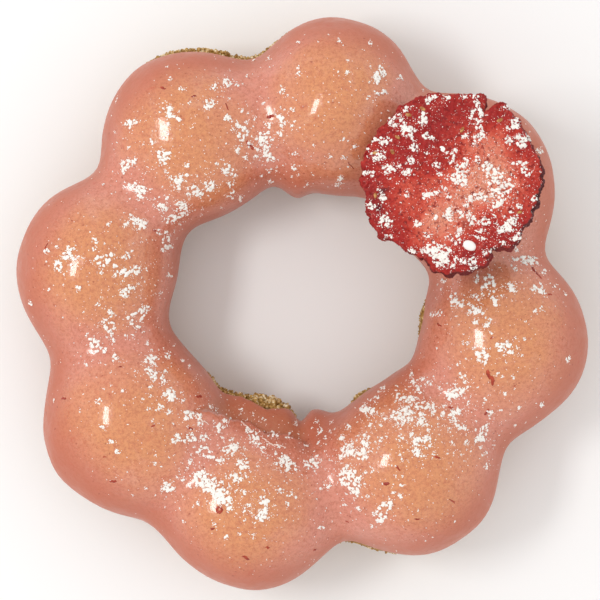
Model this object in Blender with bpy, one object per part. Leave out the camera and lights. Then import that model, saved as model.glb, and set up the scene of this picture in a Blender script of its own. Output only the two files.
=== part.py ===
"""Ring doughnut of eight fused dough balls, coated in icing, with a dried strawberry slice and sugar on top.

Metres, +Z up. The ring lies on Z = 0 and the middle of its box is over the origin.
"""

import math

import bmesh
import bpy
import numpy as np
from mathutils import Matrix, Vector

MM = 0.001

# The dough: one row for each ball, counted round the ring from the right-hand side.
# Angle in degrees, middle radius, half width across the ring, half length along it, height.
BALLS = (
    (-10.5, 34.3 * MM, 12.5 * MM, 12.7 * MM, 25.2 * MM),
    (36.0, 34.2 * MM, 12.9 * MM, 13.0 * MM, 25.3 * MM),
    (81.0, 33.8 * MM, 12.9 * MM, 11.8 * MM, 25.4 * MM),
    (124.0, 33.9 * MM, 12.6 * MM, 12.2 * MM, 24.6 * MM),
    (170.0, 34.9 * MM, 11.7 * MM, 12.7 * MM, 24.4 * MM),
    (215.0, 34.7 * MM, 13.3 * MM, 13.1 * MM, 24.8 * MM),
    (255.5, 35.6 * MM, 11.6 * MM, 12.5 * MM, 25.0 * MM),
    (303.7, 32.8 * MM, 13.1 * MM, 12.8 * MM, 25.4 * MM),
)
BALL_BLEND = 3.5 * MM  # how softly one ball runs into the next
SUNK = 1.5 * MM  # how far the round balls would reach below the face they rest on

# One ball is short on the hole's side: a low lip of dough was squeezed out under it there.
LIP_ANGLE = 252.5
LIP_RADIUS = 24.4 * MM
LIP_HALF_WIDTH = 6.4 * MM
LIP_HALF_LENGTH = 14.2 * MM
LIP_HALF_HEIGHT = 6.6 * MM
LIP_MIDDLE_Z = 8.2 * MM
LIP_BLEND = 0.7 * MM

LUMP_SIZE = 2.6 * MM
LUMP_DEPTH = 0.25 * MM

# The grid that the skins are laid on: round the ring, and round its section, where 0 points
# away from the hole, 90 up and 180 into the hole. Rows are wider apart under the icing.
SECTION_RADIUS = 33.0 * MM
SECTION_Z = 12.0 * MM
AROUND = 80
DOUGH_ROWS = (24, 48, 72, 96, 120, 138, 149, 157, 165, 174, 184, 196, 208, 220, 232, 244, 256, 268, 280,
              292, 304, 316, 328, 341, 354, 366)
FARTHEST = 24.0 * MM
HALVINGS = 34
SLOPE_STEP = 0.05 * MM

# The icing: a coat over the upper half, down to just under the widest line of each ball.
ICING_LIFT = 0.5 * MM
ICING_THICKNESS = 1.0 * MM
ICING_LIP_ROUNDING = 1.1 * MM
COAT_TOP = ICING_LIFT + ICING_THICKNESS
COAT_LENGTH = 40.0 * MM  # about how far it is over the top, from edge to edge
ICING_TOP_ROWS = (0.08, 0.17, 0.26, 0.35, 0.44, 0.53, 0.62, 0.70, 0.77, 0.83, 0.88, 0.93)
ICING_UNDER_ROWS = (0.10, 0.20, 0.30, 0.40, 0.51, 0.62, 0.72, 0.80, 0.87, 0.94)
OUTER_EDGE = -9.0
INNER_EDGE = 189.0
EDGE_WAVE = 3.1
RUN_THICK_SHARE = 0.35  # how far up from the edge a drip is thicker, as a share of the coat
# Places where the edge runs lower as a drip, or stays high and shows the dough.
# Angle round the ring, half length in degrees, section degrees down the side, extra thickness.
INNER_RUNS = (
    (93.0, 6.0, 20.0, 1.8 * MM),
    (281.0, 6.5, 22.0, 1.4 * MM),
    (240.0, 17.0, -8.0, 0.0 * MM),
    (4.0, 11.0, -22.0, 0.0 * MM),
    (150.0, 7.0, 12.0, 0.3 * MM),
    (325.0, 6.0, 14.0, 0.4 * MM),
)
OUTER_RUNS = (
    (121.0, 14.0, 16.0, 0.0 * MM),
    (103.0, 8.0, 10.0, 0.0 * MM),
    (286.0, 9.0, 12.0, 0.0 * MM),
    (60.0, 6.0, -16.0, 0.4 * MM),
    (192.0, 7.0, -20.0, 0.5 * MM),
    (330.0, 6.0, -18.0, 0.5 * MM),
    (235.0, 5.0, -14.0, 0.3 * MM),
    (12.0, 5.0, -12.0, 0.3 * MM),
)

# The strawberry slice, cut across the fruit and dried. It lies on the second ball's crown, a hair
# clear of the icing, and leans over towards the third ball.
SLICE_CENTRE = (23.4 * MM, 19.1 * MM, 29.1 * MM)
SLICE_RADIUS = 14.2 * MM
SLICE_THICKNESS = 3.1 * MM
SLICE_EGG = 1.2 * MM
SLICE_EGG_ANGLE = 42.0
SLICE_CRINKLE = 0.34 * MM
SLICE_CRINKLES = 15
SLICE_NOTCH_ANGLE = 64.0
SLICE_NOTCH_HALF_ANGLE = 5.0
SLICE_NOTCH_DEPTH = 2.4 * MM
SLICE_FLARE = 0.55 * MM
SLICE_SAG = 1.0 * MM
SLICE_RELIEF = 0.22 * MM
SLICE_RELIEF_SIZE = 1.5 * MM
SLICE_TILT = 10.0
SLICE_LOW_SIDE = 146.0
SLICE_AROUND = 60
SLICE_TOP_RINGS = (0.3, 0.55, 0.76, 0.91, 1.0)
SLICE_UNDER_RINGS = (0.9, 0.5)

# Seeds of the fruit, in its cut face near the rim: angle round the slice and share of its radius.
SEEDS = ((100, 0.63), (117, 0.86), (128, 0.78), (143, 0.83), (157, 0.72), (184, 0.80), (74, 0.80), (30, 0.83))
SEED_LENGTH = 1.4 * MM
SEED_WIDTH = 0.8 * MM

# Sugar that caked into clumps, where it lies on the icing. Millimetres from the ring's axis: place
# seen from above, half length and half width. The last number is the turn in degrees.
SUGAR_CLUMPS = (
    (25.2, 0.4, 1.3, 0.7, -55), (39.0, 2.3, 1.0, 0.6, -60), (34.1, 2.7, 0.9, 0.7, -30),
    (30.8, 2.5, 2.1, 0.7, -78), (36.9, 7.2, 1.9, 0.7, -5), (12.3, 37.3, 1.7, 0.6, 65),
    (-5.6, 24.3, 1.3, 0.8, -50), (-6.5, 27.1, 1.0, 0.9, 0), (-3.5, 30.2, 1.4, 0.5, -60),
    (-12.2, 36.2, 0.8, 0.7, 0), (-9.7, 27.8, 1.2, 0.7, 80), (-14.8, 32.6, 0.8, 0.7, 60),
    (-12.0, 21.8, 1.1, 0.7, -40), (-21.6, 30.8, 1.5, 0.5, 95), (-15.0, 19.5, 1.1, 0.8, -70),
    (-22.4, 23.9, 1.3, 0.9, 70), (-17.2, 18.3, 1.1, 0.7, -50), (-28.1, 29.4, 0.9, 0.7, 20),
    (-20.2, 20.4, 1.3, 0.6, 20), (-28.5, 22.8, 1.6, 0.7, 35), (-19.5, 15.6, 1.2, 0.8, 60),
    (-26.6, 18.7, 1.4, 0.8, -20), (-23.0, 15.9, 1.0, 0.5, 0), (-21.2, 14.2, 1.5, 0.6, 15),
    (-26.7, 13.2, 1.2, 0.9, -30), (-22.5, 10.3, 1.5, 0.5, 80), (-32.3, 7.1, 1.4, 0.8, 15),
    (-38.1, 8.1, 1.3, 0.7, 35), (-27.6, 5.4, 1.8, 0.7, 20), (-39.5, 6.3, 0.9, 0.7, -60),
    (-28.6, 2.1, 1.1, 0.5, 60), (-27.0, -2.3, 1.6, 1.0, 55), (-31.5, -3.5, 1.0, 0.8, -40),
    (-33.9, -6.6, 1.2, 0.8, -75), (-24.7, -9.1, 1.3, 0.7, 30), (-24.5, -11.4, 1.2, 0.7, -60),
    (-21.5, -14.8, 1.0, 0.9, -40), (-18.4, -18.1, 0.9, 0.7, 0), (-19.2, -21.8, 1.6, 0.6, -10),
    (-21.9, -29.8, 1.0, 0.9, 0), (-13.0, -19.7, 1.2, 0.6, 40), (-15.8, -24.2, 1.2, 0.7, -30),
    (-15.9, -28.3, 2.0, 1.3, -20), (-11.6, -23.6, 1.5, 0.7, 15), (-13.5, -30.0, 1.9, 1.2, -50),
    (-10.6, -28.1, 1.0, 0.8, 0), (-9.7, -26.0, 0.9, 0.8, 0), (-8.0, -21.8, 1.3, 0.7, -60),
    (-6.2, -32.0, 1.1, 0.6, -20), (-6.4, -34.1, 1.1, 0.9, 20), (-2.7, -26.1, 1.6, 1.2, -15),
    (1.6, -26.4, 1.2, 0.7, 20), (7.9, -28.7, 2.3, 1.5, -60), (7.1, -24.1, 1.2, 0.9, 20),
    (13.3, -33.6, 1.7, 0.8, 70), (10.0, -24.3, 1.1, 0.9, 40), (10.4, -22.3, 1.0, 0.8, 70),
    (10.7, -17.5, 1.1, 0.7, -15), (18.6, -23.9, 1.0, 0.6, -40), (15.4, -18.2, 1.1, 0.7, 60),
    (19.0, -22.0, 1.5, 0.5, 15), (17.4, -18.0, 1.2, 0.9, -50), (19.5, -18.9, 0.9, 0.7, -60),
    (17.6, -15.5, 1.2, 0.6, 0), (19.8, -16.4, 1.2, 0.5, 10), (25.9, -19.9, 1.1, 0.6, -20),
    (29.5, -21.6, 1.3, 0.7, 50), (25.1, -17.5, 0.9, 0.7, 20), (24.9, -14.5, 1.9, 0.8, 15),
    (29.2, -8.5, 0.9, 0.8, 0), (32.7, -6.7, 1.3, 0.9, -40), (28.3, -1.0, 1.1, 0.7, 0),
)
# The same for the clumps on the slice, from its middle and in its own plane.
SLICE_CLUMPS = (
    (7.1, 1.8, 2.0, 1.3, -50), (8.8, -0.6, 1.9, 0.9, 20), (8.0, -2.9, 1.6, 0.8, 40),
    (1.7, 1.2, 1.6, 1.2, 20), (-1.1, -10.9, 1.9, 1.3, -35), (3.3, -9.7, 1.1, 0.8, -30),
    (-0.9, 5.8, 0.8, 0.6, -30), (0.3, 4.5, 0.9, 0.6, -50), (-6.5, 8.9, 1.2, 1.0, 0),
    (4.6, 11.4, 1.3, 0.9, 70), (10.4, 9.5, 1.0, 0.8, 20), (12.0, 7.0, 1.0, 0.8, -60),
    (-11.0, 4.8, 1.1, 0.8, 0), (-10.0, 7.2, 0.8, 0.8, 0), (-4.0, 10.6, 1.1, 0.7, 70),
    (9.7, -6.4, 1.6, 0.8, 40), (0.1, -4.4, 0.9, 0.6, 80), (3.6, -11.8, 1.2, 0.6, 80),
    (-10.0, -5.8, 1.3, 0.8, -40), (-9.0, 2.8, 1.3, 0.8, 20),
)
CLUMP_HEIGHT = 0.52 * MM
CLUMP_ROUGHNESS = 0.3
SEED_ROUGHNESS = 0.05
CHANCE = 7  # starts the random numbers


def smooth_angle_bump(angle, middle, half_length):
    """1 at the middle angle, falling smoothly towards 0 past its half length."""
    off = (angle - middle + 180.0) % 360.0 - 180.0
    return np.exp(-((off / half_length) ** 2))


def ellipsoid_distance(points, angle, radius, middle_z, half_sizes):
    """About how far points are outside an ellipsoid that stands at this angle and radius of the ring."""
    turn = math.radians(angle)
    outward = np.array((math.cos(turn), math.sin(turn), 0.0))
    along = np.array((-math.sin(turn), math.cos(turn), 0.0))
    offset = points - outward * radius - np.array((0.0, 0.0, middle_z))
    local = np.stack((offset @ outward, offset @ along, offset[..., 2]), axis=-1)
    return (np.linalg.norm(local / np.array(half_sizes), axis=-1) - 1.0) * min(half_sizes)


def swelling(points):
    """Uneven swelling of fried dough: waves bent by one another, so that no bump repeats."""
    x, y, z = np.moveaxis(points / LUMP_SIZE, -1, 0)
    first = np.sin(x + 1.7 * np.sin(0.8 * y))
    second = np.sin(1.2 * y + 1.5 * np.sin(0.9 * z + 0.6 * x))
    third = np.sin(1.1 * z + 1.6 * np.sin(0.7 * x - 0.5 * y))
    return LUMP_DEPTH * (first + second + third) / 3.0


def dough_distance(points):
    """About how far points are outside the dough, with every ball and the lip blended together."""
    blended = np.zeros(points.shape[:-1])
    for angle, radius, half_width, half_length, height in BALLS:
        half_sizes = (half_width, half_length, (height + SUNK) / 2.0)
        distance = ellipsoid_distance(points, angle, radius, (height - SUNK) / 2.0, half_sizes)
        blended += np.exp(-distance / BALL_BLEND)
    balls = -BALL_BLEND * np.log(blended)
    lip_sizes = (LIP_HALF_WIDTH, LIP_HALF_LENGTH, LIP_HALF_HEIGHT)
    lip = ellipsoid_distance(points, LIP_ANGLE, LIP_RADIUS, LIP_MIDDLE_Z, lip_sizes)
    return -LIP_BLEND * np.logaddexp(-balls / LIP_BLEND, -lip / LIP_BLEND) - swelling(points)


def section_point(around, section, reach):
    """The point at this reach from the middle of the ring's section; both angles are in degrees."""
    turn, tilt = np.radians(around), np.radians(section)
    radius = SECTION_RADIUS + reach * np.cos(tilt)
    return np.stack((radius * np.cos(turn), radius * np.sin(turn), SECTION_Z + reach * np.sin(tilt)), axis=-1)


def skin(around, section, lift):
    """Points this far off the dough's skin in the directions given, found by halving the reach."""
    low = np.zeros(around.shape)
    high = np.full(around.shape, FARTHEST)
    for _ in range(HALVINGS):
        middle = (low + high) / 2.0
        outside = dough_distance(section_point(around, section, middle)) > lift
        high = np.where(outside, middle, high)
        low = np.where(outside, low, middle)
    return section_point(around, section, low)


def coat_from_above(x, y):
    """The place and normal of the icing's top face at x and y, found by halving the height."""
    low, high = SECTION_Z, SECTION_Z + FARTHEST
    for _ in range(HALVINGS):
        middle = (low + high) / 2.0
        if dough_distance(np.array((x, y, middle))) > COAT_TOP:
            high = middle
        else:
            low = middle
    place = np.array((x, y, low))
    steps = np.eye(3) * SLOPE_STEP
    normal = dough_distance(place + steps) - dough_distance(place - steps)
    return Vector(place), Vector(normal).normalized()


def rest_flat(points):
    """The underside pressed flat on Z = 0, with a soft turn up from it."""
    bend = SUNK * 0.5
    z = points[..., 2]
    turned = (z + bend) ** 2 / (4.0 * bend)
    points[..., 2] = np.where(z > bend, z, np.where(z < -bend, 0.0, turned))
    return points


def new_object(name, mesh, material, smooth=True):
    """A named object of this mesh, which is a bmesh, in the scene."""
    data = bpy.data.meshes.new(name)
    bmesh.ops.recalc_face_normals(mesh, faces=mesh.faces)
    mesh.to_mesh(data)
    mesh.free()
    thing = bpy.data.objects.new(name, data)
    bpy.context.scene.collection.objects.link(thing)
    data.materials.append(material)
    if smooth:
        data.shade_smooth()
    return thing


def food_material(name, colour, roughness):
    material = bpy.data.materials.new(name)
    material.use_nodes = True
    shader = material.node_tree.nodes["Principled BSDF"]
    shader.inputs["Base Color"].default_value = (*colour, 1.0)
    shader.inputs["Roughness"].default_value = roughness
    shader.inputs["Metallic"].default_value = 0.0
    return material


def ring_of_quads(mesh, rows, closed_rows):
    """Joins rows of vertices, each of which runs round the ring, by quads."""
    count = len(rows)
    for i in range(count if closed_rows else count - 1):
        near, far = rows[i], rows[(i + 1) % count]
        for j in range(len(near)):
            k = (j + 1) % len(near)
            mesh.faces.new((near[j], near[k], far[k], far[j]))


def make_dough():
    """The ring of fused balls, one closed skin."""
    around = np.arange(AROUND) * 360.0 / AROUND
    mesh = bmesh.new()
    rows = []
    for section in DOUGH_ROWS:
        points = skin(around, np.full(AROUND, float(section)), np.zeros(AROUND))
        rows.append([mesh.verts.new(p) for p in rest_flat(points)])
    ring_of_quads(mesh, rows, closed_rows=True)
    return new_object("dough_ring", mesh, food_material("fried_dough", (0.42, 0.21, 0.06), 0.6))


def edge_wave(around):
    turn = np.radians(around)
    return EDGE_WAVE * (np.sin(5.0 * turn + 0.7) + 0.6 * np.sin(11.0 * turn))


def icing_edges(around):
    """Section angles of the icing's outer and inner edge, and the extra thickness at each."""
    outer = OUTER_EDGE + edge_wave(around)
    inner = INNER_EDGE - edge_wave(around + 120.0)
    outer_extra, inner_extra = np.zeros(around.shape), np.zeros(around.shape)
    for middle, half_length, down, extra in OUTER_RUNS:
        bump = smooth_angle_bump(around, middle, half_length)
        outer += down * bump
        outer_extra += extra * bump
    for middle, half_length, down, extra in INNER_RUNS:
        bump = smooth_angle_bump(around, middle, half_length)
        inner += down * bump
        inner_extra += extra * bump
    return outer, inner, outer_extra, inner_extra


def make_icing():
    """The coat: an under face just off the dough and a top face, which meet along both edges."""
    around = np.arange(AROUND) * 360.0 / AROUND
    outer, inner, outer_extra, inner_extra = icing_edges(around)
    span = inner - outer
    near_edge = ICING_LIP_ROUNDING * np.array((0.3, 1.0)) / COAT_LENGTH
    top_shares = (0.0, *near_edge, *ICING_TOP_ROWS, *(1.0 - near_edge[::-1]), 1.0)

    def lifted(share, lift):
        return skin(around, outer + span * share, lift)

    def top_lift(share):
        to_edge = min(share, 1.0 - share) / near_edge[1]
        rounded = math.sqrt(1.0 - max(0.0, 1.0 - to_edge) ** 2)
        at_edge = max(0.0, 1.0 - min(share, 1.0 - share) / RUN_THICK_SHARE)
        extra = (outer_extra if share < 0.5 else inner_extra) * at_edge
        return ICING_LIFT + (ICING_THICKNESS + extra) * rounded

    mesh = bmesh.new()
    top = [[mesh.verts.new(p) for p in lifted(s, top_lift(s))] for s in top_shares]
    flat = np.full(AROUND, ICING_LIFT)
    under = [[mesh.verts.new(p) for p in lifted(s, flat)] for s in ICING_UNDER_ROWS]
    ring_of_quads(mesh, top, closed_rows=False)
    ring_of_quads(mesh, [top[0], *under, top[-1]], closed_rows=False)
    return new_object("icing", mesh, food_material("pink_icing", (0.72, 0.28, 0.17), 0.3))


def slice_radius(angle):
    """The slice's outline: an egg shape with an uneven, crinkled edge and one torn notch."""
    turn = math.radians(angle)
    radius = SLICE_RADIUS + SLICE_EGG * math.cos(turn - math.radians(SLICE_EGG_ANGLE))
    radius += SLICE_CRINKLE * math.sin(SLICE_CRINKLES * turn) * (0.6 + 0.4 * math.sin(3.0 * turn + 1.0))
    radius += SLICE_CRINKLE * math.sin(7.0 * turn + 0.7)
    notch = smooth_angle_bump(angle, SLICE_NOTCH_ANGLE, SLICE_NOTCH_HALF_ANGLE)
    return radius - SLICE_NOTCH_DEPTH * float(notch)


def slice_rise(x, y):
    """How much the dried slice sags towards its rim, with its shallow ridges."""
    sag = SLICE_SAG * (x * x + y * y) / SLICE_RADIUS ** 2
    ridges = math.sin(x / SLICE_RELIEF_SIZE + 1.6 * math.sin(y / SLICE_RELIEF_SIZE))
    return SLICE_RELIEF * ridges * math.sin(1.3 * y / SLICE_RELIEF_SIZE + 0.9) - sag


def slice_point(angle, share, height):
    """A point of the slice in its own frame: the share runs from its middle out to its edge."""
    turn = math.radians(angle)
    outline = SLICE_RADIUS + (slice_radius(angle) - SLICE_RADIUS) * share ** 3
    x = outline * share * math.cos(turn)
    y = outline * share * math.sin(turn)
    return Vector((x, y, height + slice_rise(x, y)))


def slice_pose():
    """Tilts the slice towards its low side and puts it in its place."""
    low = math.radians(SLICE_LOW_SIDE)
    hinge = Vector((-math.sin(low), math.cos(low), 0.0))
    return Matrix.Translation(SLICE_CENTRE) @ Matrix.Rotation(math.radians(SLICE_TILT), 4, hinge)


def make_slice():
    """The slice: a cut face, a skin that flares downwards, and a back."""
    mesh = bmesh.new()
    angles = [360.0 * i / SLICE_AROUND for i in range(SLICE_AROUND)]

    def loop(share, height, flare=0.0):
        return [mesh.verts.new(slice_point(a, share + flare, height)) for a in angles]

    half = SLICE_THICKNESS / 2.0
    rows = [loop(share, half) for share in SLICE_TOP_RINGS]
    rows.append(loop(1.0, 0.0, 0.9 * SLICE_FLARE / SLICE_RADIUS))
    rows.append(loop(1.0, -half * 0.8, SLICE_FLARE / SLICE_RADIUS))
    rows += [loop(share, -half) for share in SLICE_UNDER_RINGS]
    ring_of_quads(mesh, rows, closed_rows=False)
    for row, height in ((rows[0], half), (rows[-1], -half)):
        middle = mesh.verts.new(slice_point(0.0, 0.0, height))
        for j in range(SLICE_AROUND):
            mesh.faces.new((middle, row[j], row[(j + 1) % SLICE_AROUND]))
    mesh.transform(slice_pose())
    return new_object("strawberry_slice", mesh, food_material("dried_strawberry", (0.52, 0.05, 0.04), 0.75))


def new_collection(name):
    collection = bpy.data.collections.new(name)
    bpy.context.scene.collection.children.link(collection)
    return collection


def add_lump(collection, material, place, normal, turn, half_sizes, roughness, rng):
    """A small faceted lump, half sunk in what it lies on; its long side points along the turn."""
    mesh = bmesh.new()
    bmesh.ops.create_icosphere(mesh, subdivisions=1, radius=1.0)
    for vertex in mesh.verts:
        vertex.co *= 1.0 + roughness * rng.uniform(-1.0, 1.0)
    heading = Vector((math.cos(math.radians(turn)), math.sin(math.radians(turn)), 0.0))
    across = normal.cross(heading).normalized()
    pose = Matrix((across.cross(normal), across, normal)).transposed().to_4x4()
    mesh.transform(Matrix.Translation(place) @ pose @ Matrix.Diagonal((*half_sizes, 1.0)))
    lump = new_object("lump", mesh, material, smooth=False)
    bpy.context.scene.collection.objects.unlink(lump)
    collection.objects.link(lump)


def sugar_the_icing(icing):
    """Clumps on the icing, each half sunk in it."""
    clumps = new_collection("sugar_on_icing")
    rng = np.random.default_rng(CHANCE)
    for x, y, half_length, half_width, turn in SUGAR_CLUMPS:
        place, normal = coat_from_above(x * MM, y * MM)
        sizes = (half_length * MM, half_width * MM, CLUMP_HEIGHT)
        add_lump(clumps, icing.data.materials[0], place, normal, turn, sizes, CLUMP_ROUGHNESS, rng)
    return clumps


def dress_slice(berry):
    """Seeds near the rim of the cut face, each pointing at its middle, and clumps of sugar."""
    toppings = new_collection("on_slice")
    material = berry.data.materials[0]
    rng = np.random.default_rng(CHANCE + 1)
    pose = slice_pose()
    up = pose.to_3x3() @ Vector((0.0, 0.0, 1.0))
    for angle, share in SEEDS:
        place = pose @ slice_point(angle, share, SLICE_THICKNESS / 2.0)
        sizes = (SEED_LENGTH / 2.0, SEED_WIDTH / 2.0, SEED_WIDTH / 2.0)
        add_lump(toppings, material, place, up, angle, sizes, SEED_ROUGHNESS, rng)
    for x, y, half_length, half_width, turn in SLICE_CLUMPS:
        height = SLICE_THICKNESS / 2.0 + slice_rise(x * MM, y * MM)
        sizes = (half_length * MM, half_width * MM, CLUMP_HEIGHT)
        place = pose @ Vector((x * MM, y * MM, height))
        add_lump(toppings, material, place, up, turn, sizes, CLUMP_ROUGHNESS, rng)
    return toppings


def fuse(thing, collection):
    """One Boolean union with all of a collection's lumps, applied, and the lumps removed."""
    union = thing.modifiers.new("fuse", "BOOLEAN")
    union.operation = "UNION"
    union.operand_type = "COLLECTION"
    union.collection = collection
    union.solver = "EXACT"
    bpy.context.view_layer.update()
    graph = bpy.context.evaluated_depsgraph_get()
    fused = bpy.data.meshes.new_from_object(thing.evaluated_get(graph))
    thing.modifiers.clear()
    thing.data = fused
    for lump in list(collection.objects):
        bpy.data.objects.remove(lump)
    bpy.data.collections.remove(collection)


def centre_on_origin(things):
    """Slides everything so that the middle of the footprint's box is over the origin."""
    corners = np.array([v.co for thing in things for v in thing.data.vertices])
    middle = (corners.min(axis=0) + corners.max(axis=0)) / 2.0
    for thing in things:
        thing.data.transform(Matrix.Translation((-middle[0], -middle[1], 0.0)))


def main():
    for thing in list(bpy.data.objects):
        bpy.data.objects.remove(thing)
    dough = make_dough()
    icing = make_icing()
    berry = make_slice()
    fuse(icing, sugar_the_icing(icing))
    fuse(berry, dress_slice(berry))
    centre_on_origin((dough, icing, berry))


main()
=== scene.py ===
"""Looks of an iced ring doughnut with sugar and a dried strawberry slice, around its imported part.

Metres, +Z up. Every piece rides on the one body, and the shapes follow the same rules as the part.
"""

import math

import bpy
import numpy as np
from mathutils import Matrix, Vector
from mathutils.bvhtree import BVHTree


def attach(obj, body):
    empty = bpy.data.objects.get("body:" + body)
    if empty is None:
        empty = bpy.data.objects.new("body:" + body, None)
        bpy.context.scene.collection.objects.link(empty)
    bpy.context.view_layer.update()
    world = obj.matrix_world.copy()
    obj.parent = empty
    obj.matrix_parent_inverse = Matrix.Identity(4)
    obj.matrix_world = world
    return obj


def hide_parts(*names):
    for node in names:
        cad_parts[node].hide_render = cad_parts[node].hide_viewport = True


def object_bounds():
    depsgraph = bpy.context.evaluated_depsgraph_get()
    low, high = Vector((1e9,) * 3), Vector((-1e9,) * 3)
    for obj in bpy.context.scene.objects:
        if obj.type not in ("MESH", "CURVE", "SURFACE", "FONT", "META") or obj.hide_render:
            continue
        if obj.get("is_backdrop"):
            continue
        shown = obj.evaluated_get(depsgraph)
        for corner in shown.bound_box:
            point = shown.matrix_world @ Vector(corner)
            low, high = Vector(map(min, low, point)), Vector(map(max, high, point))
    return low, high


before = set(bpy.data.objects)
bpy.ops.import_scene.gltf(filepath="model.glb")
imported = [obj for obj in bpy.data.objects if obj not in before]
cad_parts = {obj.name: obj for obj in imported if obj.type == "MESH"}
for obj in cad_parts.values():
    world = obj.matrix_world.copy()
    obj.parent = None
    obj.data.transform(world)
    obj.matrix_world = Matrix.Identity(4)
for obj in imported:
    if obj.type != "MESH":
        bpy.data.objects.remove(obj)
packed_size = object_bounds()

MM = 0.001

# Fried dough
# The real ring is eight balls of soft dough, set touching in a ring and fried in oil, so that they
# swelled into one another and browned. Under one ball some dough was squeezed into the hole as a lip.
BALLS = (
    (-10.5, 34.3 * MM, 12.5 * MM, 12.7 * MM, 25.2 * MM),
    (36.0, 34.2 * MM, 12.9 * MM, 13.0 * MM, 25.3 * MM),
    (81.0, 33.8 * MM, 12.9 * MM, 11.8 * MM, 25.4 * MM),
    (124.0, 33.9 * MM, 12.6 * MM, 12.2 * MM, 24.6 * MM),
    (170.0, 34.9 * MM, 11.7 * MM, 12.7 * MM, 24.4 * MM),
    (215.0, 34.7 * MM, 13.3 * MM, 13.1 * MM, 24.8 * MM),
    (255.5, 35.6 * MM, 11.6 * MM, 12.5 * MM, 25.0 * MM),
    (303.7, 32.8 * MM, 13.1 * MM, 12.8 * MM, 25.4 * MM),
)  # angle round the ring, middle radius, half width across the ring, half length along it, height
BALL_BLEND = 3.5 * MM  # how softly the balls run into one another
SUNK = 1.5 * MM  # how much of a ball is pressed flat underneath
LIP_ANGLE = 252.5
LIP_RADIUS = 24.4 * MM
LIP_HALF_SIZES = (6.4 * MM, 14.2 * MM, 6.6 * MM)
LIP_MIDDLE_Z = 8.2 * MM
LIP_BLEND = 0.7 * MM
LUMP_SIZE = 2.6 * MM
LUMP_DEPTH = 0.25 * MM
# The skin is found along rays from this middle of the ring's section, by halving their reach.
SECTION_RADIUS = 33.0 * MM
SECTION_Z = 12.0 * MM
FARTHEST = 24.0 * MM
HALVINGS = 18
RING_AXIS = Vector((0.0028 * MM, -0.1106 * MM, 0.0))  # where the ring's axis stands in the frame
DOUGH_AROUND = 720
DOUGH_ROWS = 220
# Where the dough shows past the icing it is swollen and crumbly.
# Angle round the ring, half length and section angle in degrees, how far it swells.
BARE_RIMS = (
    (224.0, 17.0, 187.0, 1.6 * MM),
    (255.0, 9.0, 189.0, 1.3 * MM),
    (-7.0, 13.0, 185.0, 1.9 * MM),
    (303.0, 9.5, 187.0, 1.9 * MM),
    (109.0, 17.0, -1.0, 2.2 * MM),
    (285.0, 11.0, -2.0, 2.0 * MM),
)
BARE_HALF_HEIGHT = 8.0  # section degrees
BARE_SHARE = 0.85  # the dough's own share of that swelling; the crumbs on it make up the rest
CRUMBLY_FROM = 0.08 * MM  # how far the dough is swollen where it starts to be crumbly
FLAT_BELOW = 1.2 * MM  # the pressed underside stays smooth up to here
# Relief in the skin: pattern, size of its blobs, depth and the part that has it.
DOUGH_RELIEF = (
    ("CLOUDS", 3.2 * MM, 0.3 * MM, "above_floor"),
    ("CLOUDS", 0.9 * MM, 0.5 * MM, "crumbly"),
    ("CLOUDS", 0.7 * MM, 0.1 * MM, "above_floor"),
)
# Angle, half length, section angle, half height of a dent beside the lip, and its depth.
DENT = (269.0, 4.0, 196.0, 24.0, 1.6 * MM)
DOUGH_DARK, DOUGH_MIDDLE, DOUGH_LIGHT = "#85511f", "#a87038", "#c2904f"
DOUGH_PALE = "#dcb47a"
RIM_DARK, RIM_GOLD, RIM_PALE = "#8f682e", "#bb924f", "#ead5a0"


def hex_colour(text):
    """Turns an sRGB colour like #d9b878 into a linear one with alpha."""
    parts = [int(text[i : i + 2], 16) / 255.0 for i in (1, 3, 5)]
    return (*[c / 12.92 if c <= 0.04045 else ((c + 0.055) / 1.055) ** 2.4 for c in parts], 1.0)


def node(tree, kind, inputs=None, output=0, stops=(), **settings):
    """Adds a shader node and gives back one of its outputs.

    Inputs are names with a value or another node's output, stops are the places and colours of a
    colour ramp, and settings are the node's own fields.
    """
    new = tree.nodes.new("ShaderNode" + kind)
    for field, value in settings.items():
        setattr(new, field, value)
    for name, value in (inputs or {}).items():
        if isinstance(value, bpy.types.NodeSocket):
            tree.links.new(value, new.inputs[name])
        else:
            new.inputs[name].default_value = value
    while stops and len(new.color_ramp.elements) < len(stops):
        new.color_ramp.elements.new(1.0)
    for index, (position, colour) in enumerate(stops):
        new.color_ramp.elements[index].position = position
        new.color_ramp.elements[index].color = hex_colour(colour)
    return new.outputs[output]


def new_material(name, finish):
    """A material with these values on its shader's sockets, given back with its tree and shader."""
    material = bpy.data.materials.new(name)
    material.use_nodes = True
    shader = material.node_tree.nodes["Principled BSDF"]
    for socket, value in finish.items():
        shader.inputs[socket].default_value = value
    return material, material.node_tree, shader


def finish_piece(piece, name, material):
    """Names a piece, smooths it and gives it its material and body."""
    piece.name = name
    piece.data.name = name
    piece.data.materials.clear()
    piece.data.materials.append(material)
    piece.data.shade_smooth()
    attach(piece, "root")


def points_of(piece):
    """The places of a piece's vertices as an array."""
    places = np.empty(len(piece.data.vertices) * 3)
    piece.data.vertices.foreach_get("co", places)
    return places.reshape(-1, 3)


def move_points(piece, points):
    """Moves a piece's vertices to these places."""
    piece.data.vertices.foreach_set("co", np.asarray(points).ravel())
    piece.data.update()


def keep_values(piece, name, values):
    """Keeps one number for each vertex, for the material to read."""
    attribute = piece.data.attributes.new(name, "FLOAT", "POINT")
    attribute.data.foreach_set("value", np.asarray(values, dtype=np.float32))


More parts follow.
